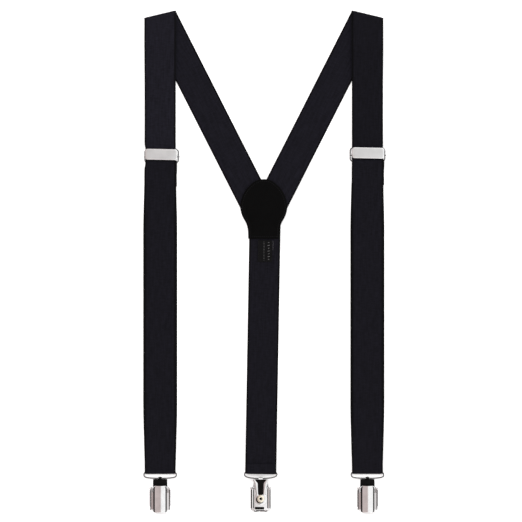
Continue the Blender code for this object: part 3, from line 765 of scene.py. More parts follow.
def strap(name, rows, mat, ripple=0.05):
    """Webbing through its rows, as one closed skin with a woven map."""
    section = webbing_section(WEB_HALF, WEB_THICK)
    a = np.array([p[0] for p in section])
    h = np.array([p[1] for p in section])
    verts, uvs = [], []
    for row in rows:
        width = a * row.size
        wave = ripple * (math.sin(row.distance / 19.0) + 0.6 * math.sin(row.distance / 6.1 + 1.3))
        height = h + wave * row.size
        height = height + 0.35 * ripple * np.sin(row.distance / 11.0 + a / 4.0)
        slide = (width * row.skew)[:, None]
        points = (np.array(row.centre) + np.outer(width + row.shift, row.across)
                  + np.outer(height, row.normal) + slide * np.array(row.along))
        verts.append(points)
        uvs.append(np.column_stack([a, row.distance + a * row.skew]))
    verts = np.vstack(verts)
    uvs = np.vstack(uvs)
    count = len(section)
    faces = grid_faces(len(rows), count)
    half_count = count // 2
    for base in (0, (len(rows) - 1) * count):
        for j in range(half_count):
            upper, lower = j, (count - j) % count
            next_upper, next_lower = j + 1, (count - j - 1) % count
            corners = [base + i for i in (upper, next_upper, next_lower, lower)]
            unique = list(dict.fromkeys(corners))
            if len(unique) > 2:
                faces.append(tuple(unique))
    return finish_mesh(name, verts, faces, mat, uvs=uvs)


def walk(path, x):
    """Rows across X along (y, z) points, close together where the path turns."""
    dense = []
    for (y0, z0), (y1, z1) in zip(path, path[1:]):
        gap = math.dist((y0, z0), (y1, z1))
        count = max(int(gap / 0.3), 1)
        dense += [(y0 + (y1 - y0) * i / count, z0 + (z1 - z0) * i / count) for i in range(count)]
    dense.append(path[-1])
    dense = np.array(dense)
    smooth = dense.copy()
    for _ in range(3):
        smooth[1:-1] = (smooth[:-2] + smooth[1:-1] * 2 + smooth[2:]) / 4
    slope = np.gradient(smooth, axis=0)
    slope /= np.linalg.norm(slope, axis=1)[:, None] + 1e-12
    length = np.concatenate([[0], np.cumsum(np.linalg.norm(np.diff(smooth, axis=0), axis=1))])
    kept = [0]
    for i in range(1, len(smooth) - 1):
        bent = math.degrees(math.acos(max(-1.0, min(1.0, float(slope[i] @ slope[kept[-1]])))))
        if length[i] - length[kept[-1]] >= ROW_STEP or bent >= ROW_TURN:
            kept.append(i)
    kept.append(len(smooth) - 1)
    rows = []
    for i in kept:
        (ty, tz), (y, z) = slope[i], smooth[i]
        rows.append(Row((x, y, z), (1, 0, 0), (0, tz, -ty), (0, ty, tz), float(length[i])))
    return rows, float(length[-1])


def lean_rows(rows, turn_about, angle):
    """Rows turned in plan about a point."""
    spin = Matrix.Rotation(angle, 3, "Z")
    about = Vector(turn_about)
    for row in rows:
        row.centre = spin @ (row.centre - about) + about
        row.across = spin @ row.across
        row.normal = spin @ row.normal
        row.along = spin @ row.along
    return rows


def mirrored(side):
    return 1.0 if side == "left" else -1.0


def slider_y(side):
    return pivot(side + "_cover_lift").y + PIVOT_BELOW


def make_diagonal(side, mat):
    """The diagonal strap, from inside the yoke up to the fold."""
    fold = pivot(side + "_shoulder_fold")
    mirror = mirrored(side)
    along = Vector((mirror * math.cos(DIAGONAL_ANGLE), -math.sin(DIAGONAL_ANGLE), 0.0))
    across = Vector((mirror * math.sin(DIAGONAL_ANGLE), math.cos(DIAGONAL_ANGLE), 0.0))
    rows = []
    length = DIAGONAL_LENGTH
    count = int(length / ROW_STEP)
    for i in range(count + 1):
        v = length * (1 - i / count)
        height = ease(FLOOR_LAYER, YOKE_LAYER, (v - YOKE_RISE[0]) / (YOKE_RISE[1] - YOKE_RISE[0]))
        into_fold = ease(0.0, FOLD_SKEW, 1 - v / SKEW_RUN)
        into_yoke = ease(0.0, YOKE_END_SKEW, (v - length + SKEW_RUN) / SKEW_RUN)
        centre = Vector((fold.x, fold.y, height)) + along * v
        rows.append(Row(centre, across, (0, 0, 1), along, -v, into_fold + into_yoke))
    diagonal = strap(side + "_diagonal_webbing", rows, mat)
    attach(diagonal, "root")
    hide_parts(side + "_diagonal_strap")
    return diagonal


def make_fold(side, mat):
    """The webbing's half turn round the fold line."""
    fold = pivot(side + "_shoulder_fold")
    mirror = mirrored(side)
    line = Vector((mirror * math.cos(FOLD_TILT), math.sin(FOLD_TILT), 0.0))
    out = Vector((-mirror * math.sin(FOLD_TILT), math.cos(FOLD_TILT), 0.0))
    middle = Vector((fold.x, fold.y, (FLOOR_LAYER + SECOND_LAYER) / 2))
    radius = (SECOND_LAYER - FLOOR_LAYER) / 2
    section = webbing_section(WEB_HALF, WEB_THICK)
    verts, uvs = [], []
    steps = 14
    for i in range(steps + 1):
        angle = math.pi * (i / steps - 0.5)
        reach = radius * angle
        normal = out * math.cos(angle) + Vector((0, 0, 1)) * math.sin(angle)
        for a, h in section:
            slide = (a - reach * math.sin(FOLD_TILT)) / math.cos(FOLD_TILT)
            verts.append(middle + line * slide + normal * (radius + h))
            uvs.append((a, reach + a * FOLD_SKEW))
    count = len(section)
    bend = finish_mesh(side + "_shoulder_fold_webbing", verts, grid_faces(steps + 1, count), mat, uvs=uvs)
    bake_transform(bend)
    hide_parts(side + "_shoulder_bend")
    return bend


def make_upper(side, mat):
    """The front strap from the fold to under the slider's cover."""
    fold = pivot(side + "_shoulder_fold")
    mirror = mirrored(side)
    slider = slider_y(side)
    x = fold.x
    split = slider + SPLIT_ABOVE
    path = [(fold.y, SECOND_LAYER)]
    path += ramp((split + 29.0, SECOND_LAYER), (split + 5.0, OVER_WIRE))
    path.append((split, OVER_WIRE))
    rows, length = walk(path, x)
    for row in rows:
        share = min(row.distance / PUFF_LENGTH, 1.0)
        row.centre.z += PUFF_HEIGHT * math.sin(math.pi * share ** 0.7) ** 2
        row.skew = -mirror * ease(0.0, FOLD_SKEW, 1 - row.distance / SKEW_RUN)
        near_slider = length - row.distance
        row.size = ease(1.0, 0.985, (row.distance - 20.0) / 60.0)
        row.size = min(row.size, ease(PINCH[side], 1.0, near_slider / 9.0))
        row.shift = PINCH_SHIFT[side] * ease(1.0, 0.0, near_slider / 9.0)
    upper = strap(side + "_upper_webbing", rows, mat)
    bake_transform(upper)
    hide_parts(side + "_front_strap_upper")


def make_lower(side, mat):
    """The lower front strap, round the loop and back up behind to the slider's lower bar."""
    x = pivot(side + "_shoulder_fold").x
    slider = slider_y(side)
    bar_point = pivot(side + "_loop_swing")
    split = slider + SPLIT_ABOVE
    bar_y = slider + FRAME_BAR
    over_end = SECOND_LAYER + WEB_THICK + LAYER_GAP
    top_leg = bar_point.z + TURN_R
    path = [(split, OVER_WIRE)]
    path += ramp((slider - 3.8, OVER_WIRE), (bar_y + 0.2, OVER_BAR))
    path += ramp((bar_y - 3.5, OVER_BAR), (bar_y - 12.0, over_end))
    path += ramp((bar_y - 30.0, over_end), (bar_y - 42.0, SECOND_LAYER))
    path += ramp((bar_point.y + 46.0, SECOND_LAYER), (bar_point.y + 16.0, top_leg))
    path += arc((bar_point.y, bar_point.z), TURN_R, 90, 270, 24)
    path += arc((bar_y, bar_point.z), TURN_R, -90, 90, 24)
    path += ramp((bar_y - 1.5, bar_point.z + TURN_R), (bar_y - 11.0, SECOND_LAYER))
    path.append((bar_y - TAIL_END, SECOND_LAYER))
    rows, length = walk(path, x)
    front_length = split - bar_point.y
    for row in rows:
        near_bar = min(row.distance, abs(row.distance - front_length), abs(length - row.distance - TAIL_END))
        share = ease(0.0, 1.0, (near_bar - 12.0) / 70.0)
        if row.distance > front_length:
            row.size = 1.0 + TAIL_SPREAD * share
        near_loop = abs(row.distance - front_length)
        row.size *= ease(0.975, 1.0, (near_loop - 4.0) / 30.0)
        near_slider = min(row.distance, length - row.distance)
        row.size *= ease(PINCH[side], 1.0, (near_slider - 12.0) / 10.0)
        row.shift = PINCH_SHIFT[side] * ease(1.0, 0.0, (near_slider - 12.0) / 14.0)
        row.shift += EYE_SHIFT * ease(0.0, 1.0, (row.distance - length + 60.0) / 25.0)
    lower = strap(side + "_lower_webbing", rows, mat)
    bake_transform(lower)
    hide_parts(*[side + "_" + part for part in ("front_strap_lower", "strap_turn", "tail", "tail_end")])


def make_back_strap(web, thread):
    """The single back strap from the yoke down round the back clip's loop, its end sewn down."""
    bar_point = pivot("back_loop_swing")
    low = bar_point.z - TURN_R
    x, top_y = BACK_TOP
    path = [(top_y, YOKE_LAYER)] + ramp((24.0, YOKE_LAYER), (0.0, FLOOR_LAYER))
    path += ramp((-150.0, FLOOR_LAYER), (bar_point.y + 16.0, low), 12)
    path += arc((bar_point.y, bar_point.z), TURN_R, 270, 90, 24)
    path += ramp((bar_point.y + 2.0, bar_point.z + TURN_R), (bar_point.y + 9.0, low + WEB_THICK + LAYER_GAP))
    rows, length = walk(path, x)
    for row in rows:
        row.size = 0.985
    lean_rows(rows, (x, top_y, 0.0), -BACK_LEAN)
    obj = strap("back_webbing", rows, web["back"], ripple=0.04)
    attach(obj, "root")
    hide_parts("back_strap")

    # The hem's row of stitches, just above the loop.
    hem = rows[-1].centre
    height = hem.z + WEB_THICK / 2
    ends = [rows[-1].centre + rows[-1].across * a - rows[-1].along * 1.6 for a in (-15.4, 15.4)]
    sewn = stitches("back_hem_stitches", [(e.x, e.y, height) for e in ends], thread, pitch=2.1, length=1.6)
    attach(sewn, "root")


# ---------------------------------------------------------------- yoke and label

def yoke_outline():
    """The yoke's outline in order round its middle, from its CAD face."""
    mesh = frame["nodes"]["yoke_inner_leather"].data
    low, high = node_box("yoke_inner_leather")
    points = [(v.co.x / MM, v.co.y / MM) for v in mesh.vertices if v.co.z / MM > high.z - 0.01]
    middle = ((low.x + high.x) / 2, (low.y + high.y) / 2)
    points = sorted(set((round(px, 4), round(py, 4)) for px, py in points),
                    key=lambda p: math.atan2(p[1] - middle[1], p[0] - middle[0]))
    return even_outline(points, 1.1), middle


def strap_distance(x, y):
    """How far a plan point lies outside the three straps that meet in the yoke."""
    best = 1e9
    for side in SIDES:
        fold = pivot(side + "_shoulder_fold")
        mirror = 1.0 if side == "left" else -1.0
        away = (x - fold.x) * mirror * math.sin(DIAGONAL_ANGLE) + (y - fold.y) * math.cos(DIAGONAL_ANGLE)
        best = min(best, abs(away) - WEB_HALF)
    if y < BACK_TOP[1]:
        best = min(best, abs(x - BACK_TOP[0] * 0.3) - WEB_HALF)
    return max(best, 0.0)


def make_yoke(leather, thread):
    """Two leather faces, sewn together round the edge; the upper one drops where no strap lies under it."""
    outline, middle = yoke_outline()
    low, high = node_box("yoke_inner_leather")
    outer_low, outer_high = node_box("yoke_outer_leather")
    drop = low.z - outer_high.z - 0.25

    def settle(x, y):
        return -ease(0.0, drop, strap_distance(x, y) / 4.0)

    inner = plate("yoke_upper_leather", outline, low.z, high.z, leather, edge=LEATHER_EDGE, lift=settle,
                  centre=middle, inner=16)
    outer = plate("yoke_lower_leather", outline, outer_low.z, outer_high.z, leather, edge=LEATHER_EDGE,
                  centre=middle, inner=8)
    around = anticlockwise(outline)
    seam = around - outward(around) * SEAM_INSET
    seam = np.vstack([seam, seam[:1]])
    sewn = stitches("yoke_stitches", [(px, py, high.z) for px, py in seam], thread, pitch=2.2, length=1.65,
                    lift=lambda px, py: high.z + settle(px, py))
    for obj, nodes in ((inner, ["yoke_inner_leather"]), (outer, ["yoke_outer_leather"]), (sewn, [])):
        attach(obj, "root")
        if nodes:
            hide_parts(*nodes)


def make_label(cloth, thread, light):
    """A woven label with a plain woven motif, sewn on three sides."""
    low, high = node_box("label")
    x = (low.x + high.x) / 2
    half = LABEL_HALF
    top, bottom = high.y - 0.2, low.y + 0.2

    def height(px, py):
        share = (LABEL_RISE - py) / LABEL_RISE
        return ease(YOKE_LAYER, FLOOR_LAYER, share) + WEB_THICK / 2 + 0.1

    outline = rounded_rectangle(half, bottom, top, 0.7, 3)
    outline = even_outline([(px + x, py) for px, py in outline], 0.6)
    label = plate("woven_label", outline, 0.0, 0.55, cloth, edge=0.2, lift=height, inner=12)
    parts = [label]
    border = []
    inset = 1.0
    for px, py in ((-half + inset, top - inset), (-half + inset, bottom + inset), (half - inset, bottom + inset),
                   (half - inset, top - inset)):
        border.append((px + x, py, 0.0))
    sewn = stitches("label_stitches", border, thread, pitch=1.7, length=1.25, radius=0.13,
                    lift=lambda px, py: height(px, py) + 0.55)
    parts.append(sewn)
    motif = []
    for offset, width, count, size in LABEL_COLUMNS:
        pitch = (top - bottom - 2.6) / count
        for i in range(count):
            y = bottom + 1.3 + (i + 0.5) * pitch
            reach = width * (0.5 if i % 2 else 0.32)
            path = [(x + offset - reach, y - 0.25, 0.0), (x + offset + reach, y + 0.25, 0.0)]
            motif.append(stitches(f"motif_{offset}_{i}", path, light, pitch=9.0, length=2 * reach, radius=size,
                                  lift=lambda px, py: height(px, py) + 0.52))
    parts.append(joined("label_motif", motif, light))
    edge_line = [(x + half + 1.2, top - 1.0, 0.0), (x + half + 1.0, top - 11.0, 0.0)]
    parts.append(stitches("label_side_thread", edge_line, light, pitch=2.0, length=1.95, radius=0.15,
                          lift=lambda px, py: height(px, py)))
    for obj in parts:
        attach(obj, "root")
    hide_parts("label")


# ---------------------------------------------------------------- slider

def standing(x):
    """A plan drawing of (y, z) stood up across X at a place."""
    return Matrix(((0, 0, 1, x), (1, 0, 0, 0), (0, 1, 0, 0), (0, 0, 0, 1)))


def pair(name, outline, reach, half, mat, edge, inner=2, middle=0.0):
    """The same (y, z) drawing stood up at equal distances on both sides of a middle."""
    return [transform(plate(f"{name}_{sign}", outline, -half, half, mat, edge=edge, inner=inner),
                      standing(middle + sign * reach)) for sign in (-1.0, 1.0)]


def make_slider(side, satin, dark):
    """The wire frame with its ears, the pin, and the satin plate with its grip."""
    centre = pivot(side + "_cover_lift")
    x, y = centre.x, centre.y + PIVOT_BELOW
    frame_z = 2.3
    frame_x = x + FRAME_SHIFT[side]

    ring = rounded_rectangle(FRAME_HALF[side], y + FRAME_BAR, y + FRAME_TOP, 3.2, 7)
    rim = wire(side + "_frame_wire", [(a + frame_x, b, frame_z) for a, b in ring], 0.62, dark, closed=True)
    parts = [rim]
    outline = arc((centre.y, centre.z), 1.9, -20, 200, 12)
    outline += [(centre.y - 2.3, frame_z), (centre.y - 1.4, frame_z - 0.7), (centre.y + 1.4, frame_z - 0.7),
                (centre.y + 2.3, frame_z)]
    parts += pair(side + "_ear", even_outline(outline, 0.5), FRAME_HALF[side] - 0.1, 0.4, dark, 0.18,
                  middle=frame_x)
    wire_frame = joined(side + "_slider_wire_frame", parts, dark, 40)
    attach(wire_frame, side + "_slider")
    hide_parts(side + "_slider_frame")

    reach = FRAME_HALF[side] + 1.3
    pin = bar(side + "_slider_rod", 0.78, (frame_x - reach + 0.7, centre.y, centre.z),
              (frame_x + reach, centre.y, centre.z), dark)
    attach(pin, side + "_slider")
    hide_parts(side + "_slider_pin")

    top = node_box(side + "_slider_cover")[1].z
    half_x, half_y = COVER_HALF
    outline = []
    for px, py in rounded_rectangle(half_x, -half_y, half_y, COVER_CORNER, 6):
        bulge = 0.45 * (1 - (py / half_y) ** 2)
        outline.append((px + math.copysign(bulge, px), py))
    outline = even_outline(outline, 0.7)

    def crown(px, py):
        return -0.32 * (py / half_y) ** 2 - 0.12 * abs(px / half_x) ** 4

    face = plate(side + "_cover_face", outline, top - 1.0, top, satin, edge=0.32, lift=crown, inner=10)
    spin = Matrix.Rotation(math.radians(COVER_TILT), 4, "Z")
    transform(face, Matrix.Translation((x + COVER_SHIFT[side], y + COVER_RAISE, 0.0)) @ spin)
    parts = [face]
    outline = arc((centre.y, centre.z), 1.7, 180, 360, 10)
    outline += [(centre.y + 1.9, top - 0.8), (centre.y - 1.9, top - 0.8)]
    parts += pair(side + "_lug", even_outline(outline, 0.5), half_x - 0.7, 0.35, satin, 0.15,
                  middle=x + COVER_SHIFT[side] * 0.5)
    grip = [(i - GRIP_HALF, -2.9 if i % 2 else -2.6) for i in range(2 * GRIP_HALF + 1)]
    grip += [(GRIP_HALF, -1.9), (-GRIP_HALF, -1.9)]
    teeth = plate(side + "_grip", grip, centre.z + 0.1, top - 0.7, satin, edge=0.08, inner=1)
    parts.append(transform(teeth, Matrix.Translation((x, centre.y, 0.0))))
    cover = joined(side + "_slider_plate", parts, satin, 40)
    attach(cover, side + "_cover")
    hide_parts(side + "_slider_cover")


# ---------------------------------------------------------------- clips

def clip_frame(name):
    """The matrix from a clip's own axes to the row frame, in millimetres."""
    turn = Matrix.Rotation(math.pi if name == "back" else 0.0, 4, "Y")
    return Matrix.Translation(pivot(name + "_clip_tilt")) @ turn


def make_loop(name, dark):
    """The wire loop: straight where the webbing turns round it, bowed below."""
    base = pivot(name + "_loop_swing")
    half = LOOP_HALF
    bow = LOOP_BOW[name]
    points = [(half * (1 - 2 * i / 12) * 0.96, 0.0) for i in range(13)]
    steps = 30
    for i in range(steps + 1):
        angle = math.pi * i / steps
        px = -math.cos(angle)
        curve = math.sin(angle) ** bow
        points.append((px * half * (1.0 if 0 < i < steps else 0.985), -0.7 - (LOOP_DROP - 0.7) * curve))
    path = [(px + base.x, py + base.y, base.z) for px, py in points]
    smooth = [Vector(p) for p in path]
    for _ in range(2):
        count = len(smooth)
        smooth = [smooth[i] * 0.5 + (smooth[i - 1] + smooth[(i + 1) % count]) * 0.25 for i in range(count)]
    obj = wire(name + "_wire_loop", smooth, LOOP_WIRE_R, dark, closed=True)
    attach(obj, name + "_loop")
    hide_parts(name + "_loop")


def hanger_half(y):
    """Half the hanger's width at a distance down from the loop."""
    wide, waist = HANGER_HALF
    return wide + (waist - wide) * ease(0.0, 1.0, (-y - 1.0) / 17.0)


def hanger_channel(y):
    """Half the width of the channel that runs down the hanger's back."""
    return 3.25 - 0.5 * (-y / 17.0) + 2.8 * ease(1.0, 0.0, (-y - 1.4) / 4.0)


def crosswise(half, y, z):
    """Points straight across a narrow strip."""
    return [(-half + 2 * half * c / 6, y, z) for c in range(7)]


def make_hanger(name, chrome, black):
    """A pressed strip: two rolled flanges beside a channel, a tab round the wire, a domed foot."""
    rows = []
    for i in range(21):
        y = -1.1 - 16.9 * i / 20
        wide, inner = hanger_half(y), hanger_channel(y)
        swell = 0.35 + 0.65 * ease(0.0, 1.0, i / 4) * ease(1.0, 0.45, (i - 15) / 5)
        hump = [(wide, -1.0), (wide - 0.2, -1.5), (wide - 0.6, -1.8), ((wide + inner) / 2, -1.95),
                (inner + 0.5, -1.75), (inner + 0.1, -1.4), (inner - 0.15, -1.05)]
        hump = [(x, -1.0 + (z + 1.0) * swell) for x, z in hump]
        section = [(-x, z) for x, z in hump] + [(0.0, -1.0)] + hump[::-1]
        rows.append([(x, y, z) for x, z in section])
    parts = [pressed(name + "_hanger_strip", rows, 0.45, chrome)]

    foot = arc((0.0, RIVET_Y), FOOT_R, 0, 350, 35)
    dome = plate(name + "_hanger_foot", foot, -1.4, -0.75, chrome, edge=0.28, centre=(0.0, RIVET_Y), inner=8,
                 lift=lambda x, y: -0.12 * (1 - min(math.hypot(x, y - RIVET_Y) / FOOT_R, 1.0) ** 2))
    drill = bar(name + "_drill", BORE_R, (0, RIVET_Y, -4), (0, RIVET_Y, 3), chrome)
    parts.append(cut(dome, drill))
    tab = []
    for i in range(25):
        angle = math.radians(-125 + 250 * i / 24)
        half = 2.2 - 0.5 * (i / 24) ** 2
        tab.append(crosswise(half, 1.5 * math.cos(angle), 1.5 * math.sin(angle)))
    parts.append(pressed(name + "_hanger_tab", tab, 0.5, chrome))
    hanger = joined(name + "_hanger_channel", parts, chrome, 40)
    transform(hanger, clip_frame(name))
    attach(hanger, name + "_clip")
    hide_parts(name + "_hanger")
    make_dark_shade(name, black)


def make_dark_shade(name, black):
    """Black pieces of painted shade and dark reflection on the hanger: in its channel, over its neck, on the nub,
    a crescent behind the rivet and a disc in its bore.
    """
    back = []
    for i in range(19):
        y = -0.9 - 17.4 * i / 18
        inner = hanger_channel(y) + 0.1
        back.append([(-inner + 2 * inner * c / 8, y, -1.32 - 0.1 * math.cos(math.pi * (c - 4) / 8))
                     for c in range(9)])
    neck = []
    for i in range(13):
        y = -1.0 - 8.1 * i / 12
        wide = 7.75 - 0.9 * ease(1.0, 0.0, i / 3)
        row = []
        for c in range(13):
            x = -wide + 2 * wide * c / 12
            fold = 0.22 * math.sin(x * 1.1 + y * 0.7) * math.cos(y * 1.3)
            swell = ease(1.0, 0.0, (-y - 6.3) / 2.6)
            row.append((x, y, -0.45 + (0.6 * (1 - (x / wide) ** 2) + fold) * swell))
        neck.append(row)
    nub = []
    for i in range(15):
        angle = math.radians(20 + 130 * i / 14)
        half = 1.7 * (0.55 + 0.45 * math.sin(math.pi * min(i / 6, 1.0) / 2))
        nub.append(crosswise(half, 1.9 * math.cos(angle) - 0.1, 1.9 * math.sin(angle)))
    # Painted shade round the rivet's lower side and inside its bore.
    crescent = plate(name + "_shade", arc((0.75, RIVET_Y - 0.85), 4.4, 0, 350, 35), -1.66, -1.48, black, edge=0.06,
                     inner=4)
    core = plate(name + "_core", arc((0.0, RIVET_Y), 1.32, 0, 340, 17), -1.2, -0.9, black, edge=0.08, inner=3)
    parts = [pressed(name + "_liner_back", back, 0.2, black), pressed(name + "_liner_neck", neck, 0.4, black),
             pressed(name + "_liner_nub", nub, 0.35, black), crescent, core]
    dark_shade = joined(name + "_hanger_liner", parts, black, 45)
    transform(dark_shade, clip_frame(name))
    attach(dark_shade, name + "_clip")


def turned(name, profile, centre, mat, steps=36):
    """A ring-shaped piece turned about an upright axis from (radius, height) points."""
    verts, faces = [], []
    count = len(profile)
    for i in range(steps):
        angle = 2 * math.pi * i / steps
        for radius, height in profile:
            verts.append((centre[0] + radius * math.cos(angle), centre[1] + radius * math.sin(angle), height))
    faces = grid_faces(steps, count, closed_rings=True)
    return sharpen(finish_mesh(name, verts, faces, mat), 50)


def make_rivet(name, brass):
    """The hollow rivet: a rolled brass head round an open bore."""
    profile = [(1.36, 1.2), (1.32, -1.75), (1.42, -2.0), (1.75, -2.2), (2.3, -2.26), (3.0, -2.14), (3.6, -1.95),
               (4.0, -1.78), (4.1, -1.68), (4.0, -1.62), (1.48, -1.6), (1.48, 0.62), (2.5, 0.62), (2.6, 0.85),
               (2.4, 1.05), (1.5, 1.25)]
    rivet = turned(name + "_brass_rivet", profile, (0.0, RIVET_Y), brass)
    transform(rivet, clip_frame(name))
    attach(rivet, name + "_clip")
    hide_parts(name + "_rivet")


def make_rear_jaw(name, chrome, dull, dark):
    """The wide plate with two pressed ribs, folded side walls and a toothed lip."""
    foot, top = JAW_SPAN
    half = JAW_HALF - 0.4
    pin_y, pin_z = LEVER_PIN
    rows = []
    stations = rounded_stations(top - 0.4, foot, (0.5, 0.3), (1.6, 0.9), 1.3)
    for i, (y, inset) in enumerate(stations):
        wall = FLANGE_TOP - 0.15 - 2.4 * ease(1.0, 0.0, (y - foot - 0.6) / 4.0)
        row = []
        for c, (x, z) in enumerate(channel(half, 0.9, wall, flat=44)):
            rib = 0.32 * math.exp(-((abs(x) - RIB_X) / 0.5) ** 2) * ease(0.0, 1.0, (y - foot - 1.5) / 2.0)
            bow = 0.12 * (1 - min(abs(x) / half, 1.0) ** 2)
            tooth = 0.3 * (c % 4 // 2 * 2 - 1) if i == len(stations) - 1 and abs(x) < 9.4 else 0.0
            row.append((x * (half - inset) / half, y + tooth, 0.15 - z - rib - bow))
        rows.append(row)
    face = pressed(name + "_jaw_face", rows, 0.8, chrome)
    drill = bar(name + "_jaw_drill", BORE_R, (0, RIVET_Y, -4), (0, RIVET_Y, 3), chrome)
    parts = [cut(face, drill)]
    parts += pair(name + "_jaw_ear", arc((pin_y, pin_z), 1.88, 0, 340, 17), JAW_HALF - 0.47, 0.46, chrome, 0.2, 3)
    jaw = joined(name + "_jaw_channel", parts, chrome, 35)
    transform(jaw, clip_frame(name))
    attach(jaw, name + "_clip")
    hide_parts(name + "_rear_jaw")
    # Dark strips beside the ribs: painted shade along the rib walls.
    shade_lines = []
    for sign in (-1.0, 1.0):
        for near, far in JAW_SHADE_LINES:
            shade_line = [(sign * near, top - 0.6), (sign * near, foot + 1.7), (sign * far, foot + 1.7),
                      (sign * far, top - 0.6)]
            shade_lines.append(plate(f"{name}_groove_{sign}_{near}", even_outline(shade_line, 0.5), *JAW_SHADE_Z, dark,
                                 edge=0.05, inner=2))
    shade_lines = joined(name + "_jaw_grooves", shade_lines, dark, 40)
    transform(shade_lines, clip_frame(name))
    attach(shade_lines, name + "_clip")
    caps = []
    for sign in (-1.0, 1.0):
        outside, inside = sign * (half + 0.42), sign * (half - 0.5)
        cap = [(outside, top - 1.5), (outside, foot + 4.6), (inside, foot + 4.4), (inside, top - 1.5)]
        caps.append(plate(f"{name}_cap_{sign}", even_outline(cap, 0.6), FLANGE_TOP - 0.1, FLANGE_TOP + 0.12, dull,
                          edge=0.06, inner=2))
    caps = joined(name + "_wall_caps", caps, dull, 40)
    transform(caps, clip_frame(name))
    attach(caps, name + "_clip")


def make_grip_pad(name, black):
    """The ribbed insert that the cloth is gripped against."""
    half = 9.8
    low = JAW_SPAN[0] + 0.6
    ribs = 6
    pitch = 1.0
    outline = [(low, 0.62)]
    for i in range(ribs):
        start = low + i * pitch
        outline += [(start + 0.15, 1.45), (start + 0.35, 1.85), (start + 0.65, 1.85), (start + 0.85, 1.45)]
    outline += [(low + ribs * pitch, 0.62)]
    pad = plate(name + "_pad", outline, -half, half, black, edge=0.15, inner=1)
    transform(pad, standing(0.0))
    wrap = rounded_rectangle(5.1, JAW_SPAN[0] + 0.5, JAW_SPAN[0] + 3.2, 0.5, 3)
    wrap = plate(name + "_wrap", even_outline([(x + 1.3, y) for x, y in wrap], 0.5), -0.62, -0.3, black, edge=0.1,
                 inner=3)
    pad = joined(name + "_grip_pad", [pad, wrap], black, 40)
    transform(pad, clip_frame(name))
    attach(pad, name + "_clip")
    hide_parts(name + "_jaw_pad")


def make_front_jaw(name, chrome):
    """The inner jaw: a plate hung from the pin, with a lip that bites on the pad."""
    pin_y, pin_z = LEVER_PIN
    foot = JAW_SPAN[0] + 0.4
    outline = [(pin_y - 4.2, 3.4), (foot + 0.5, 3.4), (foot, 3.15), (foot, 2.25), (foot + 0.9, 2.2),
               (foot + 1.3, 2.55), (foot + 2.2, 2.6), (pin_y - 4.2, 2.6)]
    face = plate(name + "_front_face", even_outline(outline, 0.5), -9.8, 9.8, chrome, edge=0.15, inner=1)
    parts = [transform(face, standing(0.0))]
    lug = arc((pin_y, pin_z), 1.85, 110, -110, 14) + [(pin_y - 5.0, 2.6), (pin_y - 5.0, 3.4)]
    parts += pair(name + "_front_lug", even_outline(lug, 0.5), 9.0, 0.6, chrome, 0.2)
    jaw = joined(name + "_front_jaw_plate", parts, chrome, 35)
    transform(jaw, clip_frame(name))
    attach(jaw, name + "_front_jaw")
    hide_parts(name + "_front_jaw")


def make_lever(name, chrome, dark, black):
    """The crowned lever: rounded shoulders, rolled sides darkened by painted shade, cheeks on the pin and painted
    shade on its inner face.
    """
    foot, top = LEVER_SPAN
    half = LEVER_HALF - 0.3
    pin_y, pin_z = LEVER_PIN
    base = channel(half, 0.8, 0.85, LEVER_CROWN, LEVER_PEAK, flat=18)

    def sunk(y):
        """How far the face is pressed down towards its ends."""
        return 0.6 * (0.55 * ease(0.0, 1.0, (foot + 1.9 - y) / 1.7) + 0.7 * ease(0.0, 1.0, (y - top + 2.3) / 2.1))

    rows = []
    for y, inset in rounded_stations(top - 0.25, foot + 0.25, (3.0, 1.4), (1.6, 1.3), 1.5):
        rows.append([(x * (half - inset) / half, y, LEVER_MIDDLE + z - sunk(y)) for x, z in base])
    parts = [pressed(name + "_lever_face", rows, 0.62, chrome)]
    cheek = arc((pin_y, pin_z), 1.85, 180, 360, 12)
    cheek += [(pin_y + 2.2, LEVER_MIDDLE - 0.35), (pin_y - 5.5, LEVER_MIDDLE - 0.35)]
    parts += pair(name + "_cheek", even_outline(cheek, 0.5), half - 0.6, 0.4, chrome, 0.15)
    lever = joined(name + "_lever_plate", parts, chrome, 40)
    transform(lever, clip_frame(name))
    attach(lever, name + "_lever")
    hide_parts(name + "_lever")

    # Dark strips along the rolled sides: painted shade where the sides turn down.
    side_shades = []
    for sign, start in ((-1.0, SIDE_SHADE_X[0]), (1.0, SIDE_SHADE_X[1])):
        strip = []
        for y, inset in rounded_stations(top - 0.6, foot + 0.4, (2.6, 1.4), (1.4, 1.2), 1.5):
            row = []
            for i in range(9):
                angle = math.radians(90 * i / 8)
                x = start + (half - 0.8 - start) * min(i / 2, 1.0) + 1.16 * math.sin(angle) * (i >= 2)
                share = min(max(abs(x - LEVER_PEAK * sign) / (half - 0.8 - LEVER_PEAK * sign), 0.0), 1.0)
                z = LEVER_CROWN * (1 - share ** 1.6) + 0.36 - 1.16 * (1 - math.cos(angle)) * (i >= 2)
                row.append((sign * x * (half - inset) / half, y, LEVER_MIDDLE + z - sunk(y)))
            strip.append(row)
        side_shades.append(pressed(f"{name}_trim_{sign}", strip, 0.1, dark))
    side_shade = joined(name + "_lever_trim", side_shades, dark, 45)
    transform(side_shade, clip_frame(name))
    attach(side_shade, name + "_lever")

    # A dark sheet under the face: painted shade on the lever's inner face.
    shade = []
    low, high = INNER_SHADE_X
    for i in range(9):
        y = foot + 0.5 + (top - foot - 5.0) * i / 8
        row = []
        for c in range(9):
            x = low + (high - low) * c / 8
            share = abs(x - LEVER_PEAK) / half
            row.append((x, y, LEVER_MIDDLE + LEVER_CROWN * (1 - share ** 1.6) - 0.42))
        shade.append(row)
    inner_shade = pressed(name + "_lever_lining", shade, 0.16, black)
    transform(inner_shade, clip_frame(name))
    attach(inner_shade, name + "_lever")


